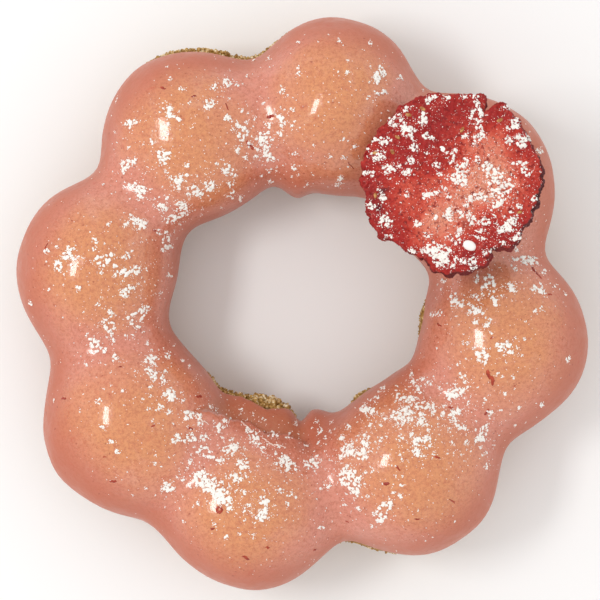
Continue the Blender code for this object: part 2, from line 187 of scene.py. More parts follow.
def roughen(piece, kind, size, depth, group=""):
    """Moves the skin in and out by a procedural pattern whose blobs are this size."""
    texture = bpy.data.textures.new("relief", kind)
    texture.noise_scale = size
    relief = piece.modifiers.new("relief", "DISPLACE")
    relief.texture = texture
    relief.strength = depth
    relief.vertex_group = group
    bpy.context.view_layer.objects.active = piece
    bpy.ops.object.modifier_apply(modifier=relief.name)


def angle_bump(angle, middle, half_length):
    """1 at the middle angle, falling smoothly towards 0 past its half length."""
    off = (angle - middle + 180.0) % 360.0 - 180.0
    return np.exp(-((off / half_length) ** 2))


def ellipsoid_distance(points, angle, radius, middle_z, half_sizes):
    """About how far points are outside an ellipsoid that stands at this angle and radius of the ring."""
    turn = math.radians(angle)
    outward = np.array((math.cos(turn), math.sin(turn), 0.0))
    along = np.array((-math.sin(turn), math.cos(turn), 0.0))
    offset = points - outward * radius - np.array((0.0, 0.0, middle_z))
    local = np.stack((offset @ outward, offset @ along, offset[..., 2]), axis=-1)
    return (np.linalg.norm(local / np.array(half_sizes), axis=-1) - 1.0) * min(half_sizes)


def swelling(points):
    """Uneven swelling of fried dough: waves bent by one another, so that no bump repeats."""
    x, y, z = np.moveaxis(points / LUMP_SIZE, -1, 0)
    first = np.sin(x + 1.7 * np.sin(0.8 * y))
    second = np.sin(1.2 * y + 1.5 * np.sin(0.9 * z + 0.6 * x))
    third = np.sin(1.1 * z + 1.6 * np.sin(0.7 * x - 0.5 * y))
    return LUMP_DEPTH * (first + second + third) / 3.0


def dough_distance(points):
    """About how far points are outside the dough, with every ball and the lip blended together."""
    blended = np.zeros(points.shape[:-1])
    for angle, radius, half_width, half_length, height in BALLS:
        half_sizes = (half_width, half_length, (height + SUNK) / 2.0)
        distance = ellipsoid_distance(points, angle, radius, (height - SUNK) / 2.0, half_sizes)
        blended += np.exp(-distance / BALL_BLEND)
    balls = -BALL_BLEND * np.log(blended)
    lip = ellipsoid_distance(points, LIP_ANGLE, LIP_RADIUS, LIP_MIDDLE_Z, LIP_HALF_SIZES)
    return -LIP_BLEND * np.logaddexp(-balls / LIP_BLEND, -lip / LIP_BLEND) - swelling(points)


def section_point(around, section, reach):
    """The point at this reach from the middle of the ring's section; both angles are in degrees."""
    turn, tilt = np.radians(around), np.radians(section)
    radius = SECTION_RADIUS + reach * np.cos(tilt)
    return np.stack((radius * np.cos(turn), radius * np.sin(turn), SECTION_Z + reach * np.sin(tilt)), axis=-1)


def skin(around, section, lift):
    """Points this far off the dough's skin in the directions given, found by halving the reach."""
    low = np.zeros(around.shape)
    high = np.full(around.shape, FARTHEST)
    for _ in range(HALVINGS):
        middle = (low + high) / 2.0
        outside = dough_distance(section_point(around, section, middle)) > lift
        high = np.where(outside, middle, high)
        low = np.where(outside, low, middle)
    return section_point(around, section, low)


def rest_flat(points):
    """The underside pressed flat on Z = 0, with a soft turn up from it."""
    bend = SUNK * 0.5
    z = points[..., 2]
    turned = (z + bend) ** 2 / (4.0 * bend)
    points[..., 2] = np.where(z > bend, z, np.where(z < -bend, 0.0, turned))
    return points


def ring_of_rows(around_count, row_count):
    """A torus primitive, with each vertex's angle round the ring and share of the way round its section."""
    bpy.ops.mesh.primitive_torus_add(
        major_segments=around_count, minor_segments=row_count, major_radius=1.0, minor_radius=0.25
    )
    piece = bpy.context.object
    x, y, z = points_of(piece).T
    around = np.degrees(np.arctan2(y, x)) % 360.0
    share = (np.degrees(np.arctan2(z, np.hypot(x, y) - 1.0)) % 360.0) / 360.0
    return piece, around, np.where(share > 1.0 - 0.4 / row_count, 0.0, share)


def bare_rims(around, section):
    """How far the crumbly rims stand out in the directions given."""
    swell = np.zeros(around.shape)
    for angle, half_length, at_section, height in BARE_RIMS:
        along = angle_bump(around, angle, half_length) ** 0.5
        swell += height * along * angle_bump(section, at_section, BARE_HALF_HEIGHT)
    return swell


def dent(around, section):
    """How deep the skin is dented in the directions given."""
    angle, half_length, at_section, half_height, depth = DENT
    return depth * angle_bump(around, angle, half_length) * angle_bump(section, at_section, half_height)


dough, around, share = ring_of_rows(DOUGH_AROUND, DOUGH_ROWS)
section = share * 360.0
swell = bare_rims(around, section)
dough_skin = skin(around, section, swell * BARE_SHARE - dent(around, section))
move_points(dough, rest_flat(dough_skin) + RING_AXIS)
crumbly = dough.vertex_groups.new(name="crumbly")
for index in np.nonzero(swell > CRUMBLY_FROM)[0]:
    crumbly.add([int(index)], min(1.0, float(swell[index]) / MM), "REPLACE")
above_floor = dough.vertex_groups.new(name="above_floor")
for index in np.nonzero(points_of(dough)[:, 2] > FLAT_BELOW)[0]:
    above_floor.add([int(index)], 1.0, "REPLACE")
for relief in DOUGH_RELIEF:
    roughen(dough, *relief)
keep_values(dough, "crumbly_here", np.clip(swell / MM, 0.0, 1.0))
keep_values(dough, "height", points_of(dough)[:, 2])

# Fried dough is only a little oily: dull, with its crumb seen through the skin.
crust, tree, shader = new_material(
    "fried_crust",
    {
        "Roughness": 0.66,
        "IOR": 1.4,
        "Subsurface Weight": 0.2,
        "Subsurface Radius": (1.0, 0.6, 0.3),
        "Subsurface Scale": 0.8 * MM,
    },
)
space = node(tree, "TexCoord", output="Object")
patches = node(
    tree,
    "TexNoise",
    {"Vector": space, "Scale": 1.0 / (5.0 * MM), "Detail": 4.0, "Roughness": 0.6, "Distortion": 0.4},
)
browned = node(
    tree, "ValToRGB", {"Fac": patches}, stops=((0.34, DOUGH_DARK), (0.52, DOUGH_MIDDLE), (0.68, DOUGH_LIGHT))
)
# It is paler from part way up its side, where the ring floated half out of the oil.
height = node(tree, "Attribute", output="Fac", attribute_name="height")
pale = node(
    tree, "MapRange", {"Value": height, "From Min": 4.0 * MM, "From Max": 9.0 * MM, "To Max": 0.45}
)
browned = node(tree, "Mix", {0: pale, 6: browned, 7: hex_colour(DOUGH_PALE)}, output=2, data_type="RGBA")
grain = node(tree, "TexNoise", {"Vector": space, "Scale": 1.0 / (0.5 * MM), "Detail": 2.0, "Roughness": 0.6})
speckled = node(
    tree, "ValToRGB", {"Fac": grain}, stops=((0.42, RIM_DARK), (0.58, RIM_GOLD), (0.70, RIM_PALE))
)
crumbly_here = node(tree, "Attribute", output="Fac", attribute_name="crumbly_here")
rim_colour = node(tree, "Mix", {0: crumbly_here, 6: browned, 7: speckled}, output=2, data_type="RGBA")
tree.links.new(rim_colour, shader.inputs["Base Color"])
blisters = node(
    tree, "TexNoise", {"Vector": space, "Scale": 1.0 / (0.5 * MM), "Detail": 3.0, "Roughness": 0.55}
)
bump = node(tree, "Bump", {"Height": blisters, "Distance": 0.06 * MM}, output="Normal")
tree.links.new(bump, shader.inputs["Normal"])
finish_piece(dough, "fried_dough_ring", crust)
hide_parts("dough_ring")

# Crust crumbs
# Where the crust shows past the icing it broke into crumbs as the rings were pulled apart hot. They
# hold on to the dough's edge, golden where they are thick and pale at their tips.
# Angles from and to round the ring, section angle in degrees, number of crumbs, usual half size.
CRUMB_RUNS = (
    (207.0, 246.0, 185.0, 230, 0.22 * MM),
    (243.0, 266.0, 187.0, 150, 0.38 * MM),
    (-20.0, 6.0, 184.0, 60, 0.16 * MM),
    (291.0, 317.0, 186.0, 190, 0.28 * MM),
    (91.0, 127.0, 1.0, 420, 0.25 * MM),
    (273.0, 297.0, 0.0, 130, 0.16 * MM),
)
CRUMB_SPREAD = 3.5  # section degrees
CRUMB_REACH = 0.9  # share of the rim's swelling at which they are looked for
CRUMB_PROUD = 0.35  # how far a crumb's middle stands off the dough, as a share of its half size
CRUMB_DARK, CRUMB_GOLD, CRUMB_PALE = "#8e6628", "#c29850", "#f5e6c4"


def surface_of(piece):
    """The skin of a finished piece, for finding where other things touch it."""
    return BVHTree.FromPolygons(points_of(piece).tolist(), [face.vertices[:] for face in piece.data.polygons])


def template(subdivisions):
    """Corners and faces of a small round primitive, to be repeated as a lump."""
    bpy.ops.mesh.primitive_ico_sphere_add(subdivisions=subdivisions, radius=1.0)
    return taken(bpy.context.object)


def taken(shape):
    """Corners and triangles of a primitive, which is then removed."""
    corners = points_of(shape)
    shape.data.calc_loop_triangles()
    faces = np.array([triangle.vertices[:] for triangle in shape.data.loop_triangles])
    bpy.data.objects.remove(shape)
    return corners, faces


def joined_lumps(name, shape, places, normals, turns, sizes, jitter, rng):
    """One mesh of many small lumps: each is the shape squashed, turned, jittered and set down."""
    corners, faces = shape
    heading = np.stack((np.cos(turns), np.sin(turns), np.zeros(len(turns))), axis=-1)
    across = np.cross(normals, heading)
    across /= np.linalg.norm(across, axis=-1, keepdims=True)
    along = np.cross(across, normals)
    shaped = corners[None] * (1.0 + jitter * rng.uniform(-1.0, 1.0, (len(places), len(corners), 1)))
    shaped = shaped * sizes[:, None, :]
    basis = np.stack((along, across, normals), axis=1)
    points = places[:, None, :] + np.einsum("nci,nij->ncj", shaped, basis)
    count = len(corners)
    all_faces = (faces[None] + (np.arange(len(places)) * count)[:, None, None]).reshape(-1, 3)
    mesh = bpy.data.meshes.new(name)
    mesh.from_pydata(points.reshape(-1, 3).tolist(), [], all_faces.tolist())
    piece = bpy.data.objects.new(name, mesh)
    bpy.context.scene.collection.objects.link(piece)
    return piece


rng = np.random.default_rng(5)
dough_surface = surface_of(dough)
places, normals, sizes = [], [], []
for start, stop, at_section, count, usual in CRUMB_RUNS:
    around = rng.uniform(start, stop, count)
    section = at_section + CRUMB_SPREAD * rng.standard_normal(count)
    lift = bare_rims(around, section) * CRUMB_REACH - dent(around, section)
    wanted = skin(around, section, lift) + RING_AXIS
    size = usual * rng.uniform(0.5, 1.5, count)
    for point, half_size in zip(wanted, size):
        place, normal, _, _ = dough_surface.find_nearest(Vector(point))
        places.append(place + normal * half_size * CRUMB_PROUD)
        normals.append(normal)
        sizes.append(half_size)
sizes = np.array(sizes)[:, None] * rng.uniform(0.65, 1.1, (len(sizes), 3))
turns = rng.uniform(0.0, math.tau, len(places))
places, normals = np.array(places), np.array(normals)
crumbs = joined_lumps("crust_crumbs", template(2), places, normals, turns, sizes, 0.16, rng)

# Broken crumbs hold more oil than the skin and glint a little.
crumb, tree, shader = new_material("fried_crumb", {"Roughness": 0.45, "IOR": 1.46})
space = node(tree, "TexCoord", output="Object")
toned = node(tree, "TexNoise", {"Vector": space, "Scale": 1.0 / (0.7 * MM), "Detail": 2.0, "Roughness": 0.6})
crumb_colour = node(
    tree, "ValToRGB", {"Fac": toned}, stops=((0.36, CRUMB_DARK), (0.52, CRUMB_GOLD), (0.66, CRUMB_PALE))
)
tree.links.new(crumb_colour, shader.inputs["Base Color"])
finish_piece(crumbs, "crust_crumbs", crumb)

# Icing
# A coat of strawberry icing, poured warm over the fried ring: thin and golden on the crowns, where
# the dough shows through, and thick and pink in the valleys and along the edge, where it ran to. Its
# steep sides, outside and round the hole, are darker: partly thicker icing, partly painted shade.
ICING_LIFT = 0.5 * MM
ICING_THICKNESS = 1.0 * MM
ICING_LIP_ROUNDING = 1.1 * MM
COAT_LENGTH = 40.0 * MM  # about its way over the top, from edge to edge
OUTER_EDGE = -9.0
INNER_EDGE = 189.0
EDGE_WAVE = 3.1  # section degrees
EDGE_RAGGED = 0.35  # section degrees
RUN_THICK_SHARE = 0.35  # how far up from the edge a run is thick
# Where the edge ran down or stayed short: angle round the ring, half length in degrees, section
# degrees that it moves by, extra thickness.
INNER_RUNS = (
    (93.0, 6.0, 20.0, 1.8 * MM),
    (281.0, 6.5, 22.0, 1.4 * MM),
    (223.0, 17.0, -9.0, 0.0 * MM),
    (253.0, 10.0, -6.0, 0.0 * MM),
    (303.0, 9.5, -9.0, 0.0 * MM),
    (-6.0, 13.0, -18.0, 0.0 * MM),
    (150.0, 7.0, 12.0, 0.3 * MM),
    (325.0, 6.0, 14.0, 0.4 * MM),
)
OUTER_RUNS = (
    (116.0, 11.0, 14.0, 0.0 * MM),
    (102.0, 9.0, 11.0, 0.0 * MM),
    (286.0, 9.0, 12.0, 0.0 * MM),
    (60.0, 6.0, -16.0, 0.4 * MM),
    (192.0, 7.0, -20.0, 0.5 * MM),
    (330.0, 6.0, -18.0, 0.5 * MM),
    (235.0, 5.0, -14.0, 0.3 * MM),
    (12.0, 5.0, -12.0, 0.3 * MM),
)
ICING_AROUND = 900
ICING_ROWS = 240
ICING_TOP_SHARE = 0.7  # how much of the rows lies on the top face
# Over the squeezed-out lip the icing slid and set as a fold, a step up to the ball behind it.
FOLD_ANGLES = (224.0, 275.0)
FOLD_ENDS = (6.0, 9.0)  # degrees over which it dies out at either end
FOLD_ANGLE = 247.0
FOLD_RADIUS = 22.3 * MM
FOLD_BENDS = (0.0054 * MM, 0.0016 * MM)  # how fast its radius grows to either side, per degree squared
FOLD_WAVES = ((23.0, 0.25 * MM), (61.0, 0.12 * MM))  # waves round the whole ring, depth
FOLD_HEIGHT = 0.85 * MM
FOLD_STEP = 0.34 * MM
FOLD_FADE = 2.4 * MM
ICING_GOLD, ICING_ORANGE, ICING_PINK, ICING_DEEP_AND_SHADE = "#df9563", "#e0946f", "#de907a", "#c0684c"
# Painted shade on the icing below the fold's step, on the hole's side.
ICING_FOLD_SHADE, FOLD_SHADE_SHARE = "#bd7c5c", 0.7
# Marks over the icing's colour. Each row: size of its blobs, the noise's detail, roughness and
# distortion, the noise value where the mark begins and is fullest, how full it gets, and its colour.
# Paler patches at random over the icing: a painted sheen.
ICING_SHEEN_PATCHES = ((6.0 * MM, 4.0, 0.6, 0.8, 0.56, 0.72, 0.35, "#e8aa94"),)
ICING_MARKS = (
    (0.6 * MM, 4.0, 0.9, 0.0, 0.44, 0.62, 0.72, "#bd6647"),  # the dough's mottling, seen through
    (2.6 * MM, 3.0, 0.7, 0.5, 0.64, 0.78, 0.55, "#c4523a"),  # juice from the fruit
    (0.75 * MM, 1.0, 0.4, 0.0, 0.735, 0.78, 0.6, "#9c3f28"),  # seeds and skin, ground fine
)
# How much of the sides' darker colour, partly painted shade, the hole's wall gets.
INNER_SIDE_SHARE = 0.8
CROWN_INWARDS = 1.2  # the gold reaches farther on the hole's side


def smooth_step(low, high, value):
    """0 up to low and 1 from high on, turning smoothly between them."""
    share = np.clip((value - low) / (high - low), 0.0, 1.0)
    return share * share * (3.0 - 2.0 * share)


def edge_wave(around):
    """How far the icing's edge waves up and down, in section degrees."""
    turn = np.radians(around)
    return EDGE_WAVE * (np.sin(5.0 * turn + 0.7) + 0.6 * np.sin(11.0 * turn))


def icing_edges(around):
    """Section angles of the icing's outer and inner edge, and the extra thickness at each."""
    outer = OUTER_EDGE + edge_wave(around)
    inner = INNER_EDGE - edge_wave(around + 120.0)
    outer_extra, inner_extra = np.zeros(around.shape), np.zeros(around.shape)
    for middle, half_length, down, extra in OUTER_RUNS:
        bump = angle_bump(around, middle, half_length)
        outer += down * bump
        outer_extra += extra * bump
    for middle, half_length, down, extra in INNER_RUNS:
        bump = angle_bump(around, middle, half_length)
        inner += down * bump
        inner_extra += extra * bump
    ragged = np.sin(np.radians(around * 37.0)) + np.sin(np.radians(around * 61.0 + 50.0))
    inner_ragged = np.roll(ragged, 5)  # so that the two edges don't match
    return outer + EDGE_RAGGED * ragged, inner + EDGE_RAGGED * inner_ragged, outer_extra, inner_extra


def crown_nearness(points):
    """1 on the middle of a ball as seen from above, falling to 0 past its edge."""
    nearest = np.full(len(points), np.inf)
    for angle, radius, half_width, half_length, _ in BALLS:
        turn = math.radians(angle)
        outward = np.array((math.cos(turn), math.sin(turn)))
        along = np.array((-math.sin(turn), math.cos(turn)))
        offset = points[:, :2] - outward * radius
        across = offset @ outward
        across = across / half_width / np.where(across < 0.0, CROWN_INWARDS, 1.0)
        nearest = np.minimum(nearest, np.hypot(across, offset @ along / half_length))
    return 1.0 - nearest


def fold_rise(points):
    """How far the icing stands up at the fold, and where painted shade darkens it on the hole's side of it.
    """
    around = np.degrees(np.arctan2(points[:, 1], points[:, 0])) % 360.0
    off = around - FOLD_ANGLE
    line = FOLD_RADIUS + np.where(off < 0.0, FOLD_BENDS[0], FOLD_BENDS[1]) * off * off
    for waves, depth in FOLD_WAVES:
        line = line + depth * np.sin(np.radians(around * waves))
    past = np.hypot(points[:, 0], points[:, 1]) - line
    ends = smooth_step(0.0, FOLD_ENDS[0], around - FOLD_ANGLES[0])
    ends = ends * smooth_step(0.0, FOLD_ENDS[1], FOLD_ANGLES[1] - around)
    fade = np.exp(-((np.maximum(past, 0.0) / FOLD_FADE) ** 2))
    inside = ends * smooth_step(0.3 * MM, -0.5 * MM, past) * smooth_step(-6.0 * MM, -1.0 * MM, past)
    return FOLD_HEIGHT * ends * smooth_step(-FOLD_STEP, FOLD_STEP, past) * fade, inside


def patterned(tree, space, colour, rows):
    """A colour with marks of other colours over it, one for each row, as the rows' comment says."""
    for size, detail, roughness, distortion, begins, fullest, most, mark in rows:
        blobs = node(
            tree,
            "TexNoise",
            {
                "Vector": space,
                "Scale": 1.0 / size,
                "Detail": detail,
                "Roughness": roughness,
                "Distortion": distortion,
            },
        )
        limits = {"Value": blobs, "From Min": begins, "From Max": fullest, "To Max": most}
        share = node(tree, "MapRange", limits)
        colour = node(tree, "Mix", {0: share, 6: colour, 7: hex_colour(mark)}, output=2, data_type="RGBA")
    return colour


icing, around, share = ring_of_rows(ICING_AROUND, ICING_ROWS)
outer, inner, outer_extra, inner_extra = icing_edges(around)
on_top = share <= ICING_TOP_SHARE
along_top = np.where(on_top, share / ICING_TOP_SHARE, (1.0 - share) / (1.0 - ICING_TOP_SHARE))
section = outer + (inner - outer) * along_top
to_edge = np.minimum(along_top, 1.0 - along_top) * COAT_LENGTH / ICING_LIP_ROUNDING
rounded = np.sqrt(1.0 - np.clip(1.0 - to_edge, 0.0, 1.0) ** 2)
at_edge = np.clip(1.0 - np.minimum(along_top, 1.0 - along_top) / RUN_THICK_SHARE, 0.0, 1.0)
extra = np.where(along_top < 0.5, outer_extra, inner_extra) * at_edge
lift = ICING_LIFT + np.where(on_top, (ICING_THICKNESS + extra) * rounded, 0.0)
lift -= dent(around, section)
rise, fold_shade = fold_rise(skin(around, section, lift))
coat = skin(around, section, lift + np.where(on_top, rise, 0.0))
move_points(icing, coat + RING_AXIS)
keep_values(icing, "crown", crown_nearness(coat))
# The steep sides get a darker colour: partly thicker icing, partly painted shade where they turn from the
# light.
sideways = np.cos(np.radians(section))
outer_side = smooth_step(0.42, 0.96, sideways)
inner_side = INNER_SIDE_SHARE * smooth_step(0.72, 1.0, -sideways)
keep_values(icing, "side", outer_side + inner_side)
keep_values(icing, "fold_shade", fold_shade)

# Sugar icing is glossy and slightly see-through, so that light spreads a little way in it.
glaze, tree, shader = new_material(
    "strawberry_icing",
    {
        "IOR": 1.45,
        "Subsurface Weight": 0.25,
        "Subsurface Radius": (1.0, 0.45, 0.3),
        "Subsurface Scale": 1.2 * MM,
        "Coat IOR": 1.47,
        "Coat Roughness": 0.05,
    },
)
space = node(tree, "TexCoord", output="Object")
crown, side, fold_shading = [
    node(tree, "Attribute", output="Fac", attribute_name=name) for name in ("crown", "side", "fold_shade")
]
blotches = node(
    tree,
    "TexNoise",
    {"Vector": space, "Scale": 1.0 / (9.0 * MM), "Detail": 3.0, "Roughness": 0.5, "Distortion": 0.3},
)
uneven = node(tree, "Math", {0: blotches, 1: 0.8, 2: -0.4}, operation="MULTIPLY_ADD")
crown = node(tree, "Math", {0: crown, 1: uneven}, operation="ADD")
glaze_colour = node(
    tree, "ValToRGB", {"Fac": crown}, stops=((0.05, ICING_PINK), (0.30, ICING_ORANGE), (0.62, ICING_GOLD))
)
# A painted sheen, as paler patches over the colour.
glaze_colour = patterned(tree, space, glaze_colour, ICING_SHEEN_PATCHES)
# How strong the painted shade below the fold's step is.
fold_shading = node(tree, "Math", {0: fold_shading, 1: FOLD_SHADE_SHARE}, operation="MULTIPLY")
# The steep sides take their darker colour, partly painted shade, and the fold's lower side takes its painted
# shade.
for share, colour in ((side, ICING_DEEP_AND_SHADE), (fold_shading, ICING_FOLD_SHADE)):
    inputs = {0: share, 6: glaze_colour, 7: hex_colour(colour)}
    glaze_colour = node(tree, "Mix", inputs, output=2, data_type="RGBA")
glaze_colour = patterned(tree, space, glaze_colour, ICING_MARKS)
tree.links.new(glaze_colour, shader.inputs["Base Color"])
# Its gloss is uneven, and the edges dried first and are duller.
gloss = node(tree, "TexNoise", {"Vector": space, "Scale": 1.0 / (2.2 * MM), "Detail": 4.0, "Roughness": 0.7})
gloss = node(
    tree, "MapRange", {"Value": gloss, "From Min": 0.4, "From Max": 0.65, "To Min": 0.14, "To Max": 0.26}
)
dulled = node(tree, "Math", {0: side, 1: 0.22, 2: gloss}, operation="MULTIPLY_ADD")
tree.links.new(dulled, shader.inputs["Roughness"])
# Clear syrup set on top of the pink as a thin, very glossy film, and drained off the steep sides.
film = node(tree, "Math", {0: side, 1: -1.1, 2: 0.8}, operation="MULTIPLY_ADD", use_clamp=True)
tree.links.new(film, shader.inputs["Coat Weight"])
ripples = node(
    tree, "TexNoise", {"Vector": space, "Scale": 1.0 / (1.6 * MM), "Detail": 3.0, "Roughness": 0.6}
)
bump = node(tree, "Bump", {"Height": ripples, "Distance": 0.1 * MM}, output="Normal")
tree.links.new(bump, shader.inputs["Normal"])
finish_piece(icing, "strawberry_icing_coat", glaze)
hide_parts("icing")

# Fruit slivers
# Shreds of strawberry skin and flesh stirred into the icing, lying in its surface.
# Each row: place seen from above, half length and half width in mm, turn in degrees.
RED_SLIVERS = (
    (38.4, 5.2, 1.45, 0.25, -52), (30.6, -11.9, 1.4, 0.4, -67), (30.1, -17.6, 0.7, 0.25, 60),
    (21.9, -24.8, 0.45, 0.25, -30), (15.6, -26.6, 0.5, 0.2, -50), (13.7, -29.1, 0.4, 0.3, 0),
    (24.4, -32.0, 0.7, 0.15, -40), (18.7, -35.0, 0.35, 0.2, 0), (-16.9, -15.1, 0.5, 0.3, 20),
    (-18.2, -20.2, 0.5, 0.25, 0), (-14.5, -36.4, 0.3, 0.2, 0), (-9.1, -41.2, 0.6, 0.3, -45),
    (-5.6, -39.5, 0.3, 0.2, 0), (2.1, -40.3, 0.25, 0.2, 0), (7.4, -35.7, 0.25, 0.2, 0),
    (-22.6, 35.2, 0.5, 0.25, -30), (-12.2, 32.1, 0.7, 0.12, -70), (-8.5, 25.9, 0.9, 0.3, -50),
    (-5.1, 30.6, 0.6, 0.3, 10), (-17.6, 33.8, 0.4, 0.2, 0), (8.0, 22.6, 0.9, 0.08, -45),
    (-41.7, 9.5, 0.6, 0.12, 60), (-37.5, 13.6, 0.18, 0.15, 0), (-24.2, 12.1, 0.3, 0.2, 0),
    (-39.0, -15.4, 0.5, 0.3, 0), (-29.6, -10.2, 0.25, 0.2, 0), (-24.1, -19.7, 0.4, 0.2, 45),
    (-32.1, -24.8, 0.3, 0.15, 0), (-30.8, -28.9, 0.5, 0.3, 20), (22.5, -3.4, 0.45, 0.2, -20),
    (30.7, -5.4, 0.3, 0.15, 60), (40.5, 1.55, 0.4, 0.2, 0), (34.5, -13.3, 0.2, 0.2, 0),
    (24.3, -16.9, 0.4, 0.2, 0),
)
SLIVER_CURL = (-13.4, -33.3, 0.42)  # one shred curled into a ring: its place and radius in mm
CURL_PARTS = 9
SLIVER_HEIGHT = 0.13 * MM
SLIVER_SUNK = 0.05 * MM
DROP_FROM = 40.0 * MM


def landed(surface, x, y):
    """Places and normals where things let fall at these plan places touch a surface, and which do."""
    places, hit = np.zeros((len(x), 3)), np.zeros(len(x), bool)
    normals = np.tile((0.0, 0.0, 1.0), (len(x), 1))
    for i, (place_x, place_y) in enumerate(zip(x, y)):
        origin = Vector((place_x + RING_AXIS.x, place_y + RING_AXIS.y, DROP_FROM))
        place, normal, _, _ = surface.ray_cast(origin, Vector((0.0, 0.0, -1.0)))
        if place is not None:
            places[i], normals[i], hit[i] = place, normal, True
    return places, normals, hit


def moved(x, y, along, aside, angle):
    """A plan place moved along a heading and to the left of it."""
    cosine, sine = math.cos(angle), math.sin(angle)
    return x + along * cosine - aside * sine, y + along * sine + aside * cosine


rng = np.random.default_rng(7)
icing_surface = surface_of(icing)
rows = []
for x, y, half_length, half_width, turn in RED_SLIVERS:
    # A long sliver is a few short ones in an uneven line, so that its edges are ragged.
    parts = max(1, round(half_length / half_width * 1.2))
    for i in range(parts):
        along = (2.0 * (i + 0.5) / parts - 1.0) * half_length * 0.8
        aside = half_width * rng.uniform(-0.45, 0.45)
        place_x, place_y = moved(x, y, along, aside, math.radians(turn))
        half = min(half_length, half_width * 1.6)
        width = half_width * rng.uniform(0.6, 1.0)
        rows.append((place_x, place_y, half, width, turn + rng.uniform(-25.0, 25.0)))
x, y, radius = SLIVER_CURL
for i in range(CURL_PARTS):
    angle = math.tau * i / CURL_PARTS
    width = rng.uniform(0.16, 0.3)
    turn = 90.0 + math.degrees(angle)
    rows.append((x + radius * math.cos(angle), y + radius * math.sin(angle), 0.26, width, turn))
rows = np.array(rows)
place, normal, hit = landed(icing_surface, rows[:, 0] * MM, rows[:, 1] * MM)
place, normal, rows = place[hit] - normal[hit] * SLIVER_SUNK, normal[hit], rows[hit]
sizes = np.stack((rows[:, 2] * MM, rows[:, 3] * MM, np.full(len(rows), SLIVER_HEIGHT)), axis=-1)
turns = np.radians(rows[:, 4])
slivers = joined_lumps("red_fruit_slivers", template(2), place, normal, turns, sizes, 0.2, rng)

# Wet fruit skin under the icing's syrup: deep red, with a dull gloss.
shred, tree, shader = new_material("strawberry_shred", {"Roughness": 0.25, "IOR": 1.45})
space = node(tree, "TexCoord", output="Object")
toned = node(tree, "TexNoise", {"Vector": space, "Scale": 1.0 / (1.2 * MM), "Detail": 2.0, "Roughness": 0.6})
shred_colour = node(tree, "ValToRGB", {"Fac": toned}, stops=((0.35, "#8c1c12"), (0.65, "#bb482b")))
tree.links.new(shred_colour, shader.inputs["Base Color"])
finish_piece(slivers, "red_fruit_slivers", shred)

# Icing threads
# Thin threads of icing, pulled along the crest of the fold as it set, coloured near-white as a painted
# highlight where they catch the light. Each is a row of small overlapping lumps, thinner towards its ends.
# Each row: place seen from above, half length and half width in mm, turn in degrees.
THREADS = (
    (-16.5, -18.9, 1.5, 0.13, -29),
    (-9.1, -20.2, 1.15, 0.12, -39),
    (-6.0, -22.3, 1.1, 0.1, -36),
    (-4.1, -23.2, 1.5, 0.14, -12),
)
THREAD_PARTS = 9
THREAD_SWAY = 0.06  # how far a thread sways aside, as a share of its half length
rows = []
for x, y, half_length, half_width, turn in THREADS:
    for i in range(THREAD_PARTS):
        along = (2.0 * (i + 0.5) / THREAD_PARTS - 1.0) * half_length
        aside = THREAD_SWAY * half_length * math.sin(2.2 * i)
        width = half_width * (1.0 - 0.6 * abs(along) / half_length)
        place_x, place_y = moved(x, y, along, aside, math.radians(turn))
        rows.append((place_x, place_y, 1.6 * half_length / THREAD_PARTS, width, turn))
rows = np.array(rows)
place, normal, _ = landed(icing_surface, rows[:, 0] * MM, rows[:, 1] * MM)
sizes = np.stack((rows[:, 2], rows[:, 3], rows[:, 3]), axis=-1) * MM
turns = np.radians(rows[:, 4])
threads = joined_lumps("painted_highlight_icing_threads", template(2), place, normal, turns, sizes, 0.05, rng)
# Near-white, a painted highlight on the fold's crest rather than the icing's own pink.
painted_highlight_icing, tree, shader = new_material(
    "painted_highlight_icing", {"Base Color": hex_colour("#f9e3d6"), "Roughness": 0.15, "IOR": 1.45}
)
finish_piece(threads, "painted_highlight_icing_threads", painted_highlight_icing)

# Strawberry slice
# One slice across a strawberry, freeze-dried: a crinkled, porous cut face, redder towards its rim,
# with a dark, shrunken skin round the side. It was laid on the icing before that set.
SLICE_CENTRE = (23.4 * MM, 19.1 * MM, 29.1 * MM)
SLICE_RADIUS = 14.2 * MM
SLICE_THICKNESS = 3.1 * MM
SLICE_EGG = 1.2 * MM
SLICE_EGG_ANGLE = 42.0
SLICE_CRINKLE = 0.34 * MM
SLICE_NOTCH_ANGLE = 61.2
SLICE_NOTCH_HALF_ANGLE = 3.2
SLICE_NOTCH_DEPTH = 3.2 * MM
SLICE_LOBES_HALF_ANGLE = 8.0
SLICE_LOBES_RISE = 1.0 * MM
# Corners torn off its rim: angle, half angle and depth, a minus where the rim stands out instead.
SLICE_CORNERS = (
    (231.0, 8.0, 0.9 * MM),
    (246.0, 8.0, 1.2 * MM),
    (256.0, 4.0, 0.8 * MM),
    (283.0, 14.0, -0.9 * MM),
    (307.0, 5.5, 1.4 * MM),
)
SLICE_SHIFT = Vector((-0.45 * MM, 0.0, 0.0))  # how far the slice lies from where the part has it
SLICE_FLARE = 0.35 * MM
SLICE_SAG = 1.0 * MM
SLICE_RELIEF = 0.22 * MM
SLICE_RELIEF_SIZE = 1.5 * MM
SLICE_TILT = 10.0
SLICE_LOW_SIDE = 146.0
SLICE_AROUND = 560
SLICE_ROWS = 176
# Where the raised edge shows its dark skin, made darker there as painted shade: angle, half length, share.
SLICE_SKIN_AND_SHADE_SIDES = ((-8.0, 44.0, 1.0), (-95.0, 28.0, 0.8))
SLICE_RIM_WAVE = 0.4 * MM
# Relief of the dried flesh: pattern, size of its blobs and depth.
SLICE_PORES = (
    ("CLOUDS", 2.2 * MM, 0.8 * MM),
    ("VORONOI", 0.9 * MM, 0.4 * MM),
    ("CLOUDS", 0.45 * MM, 0.55 * MM),
)
FACE_SHARE, SKIN_SHARE = 0.56, 0.74  # how far down the rows the face and then the skin end
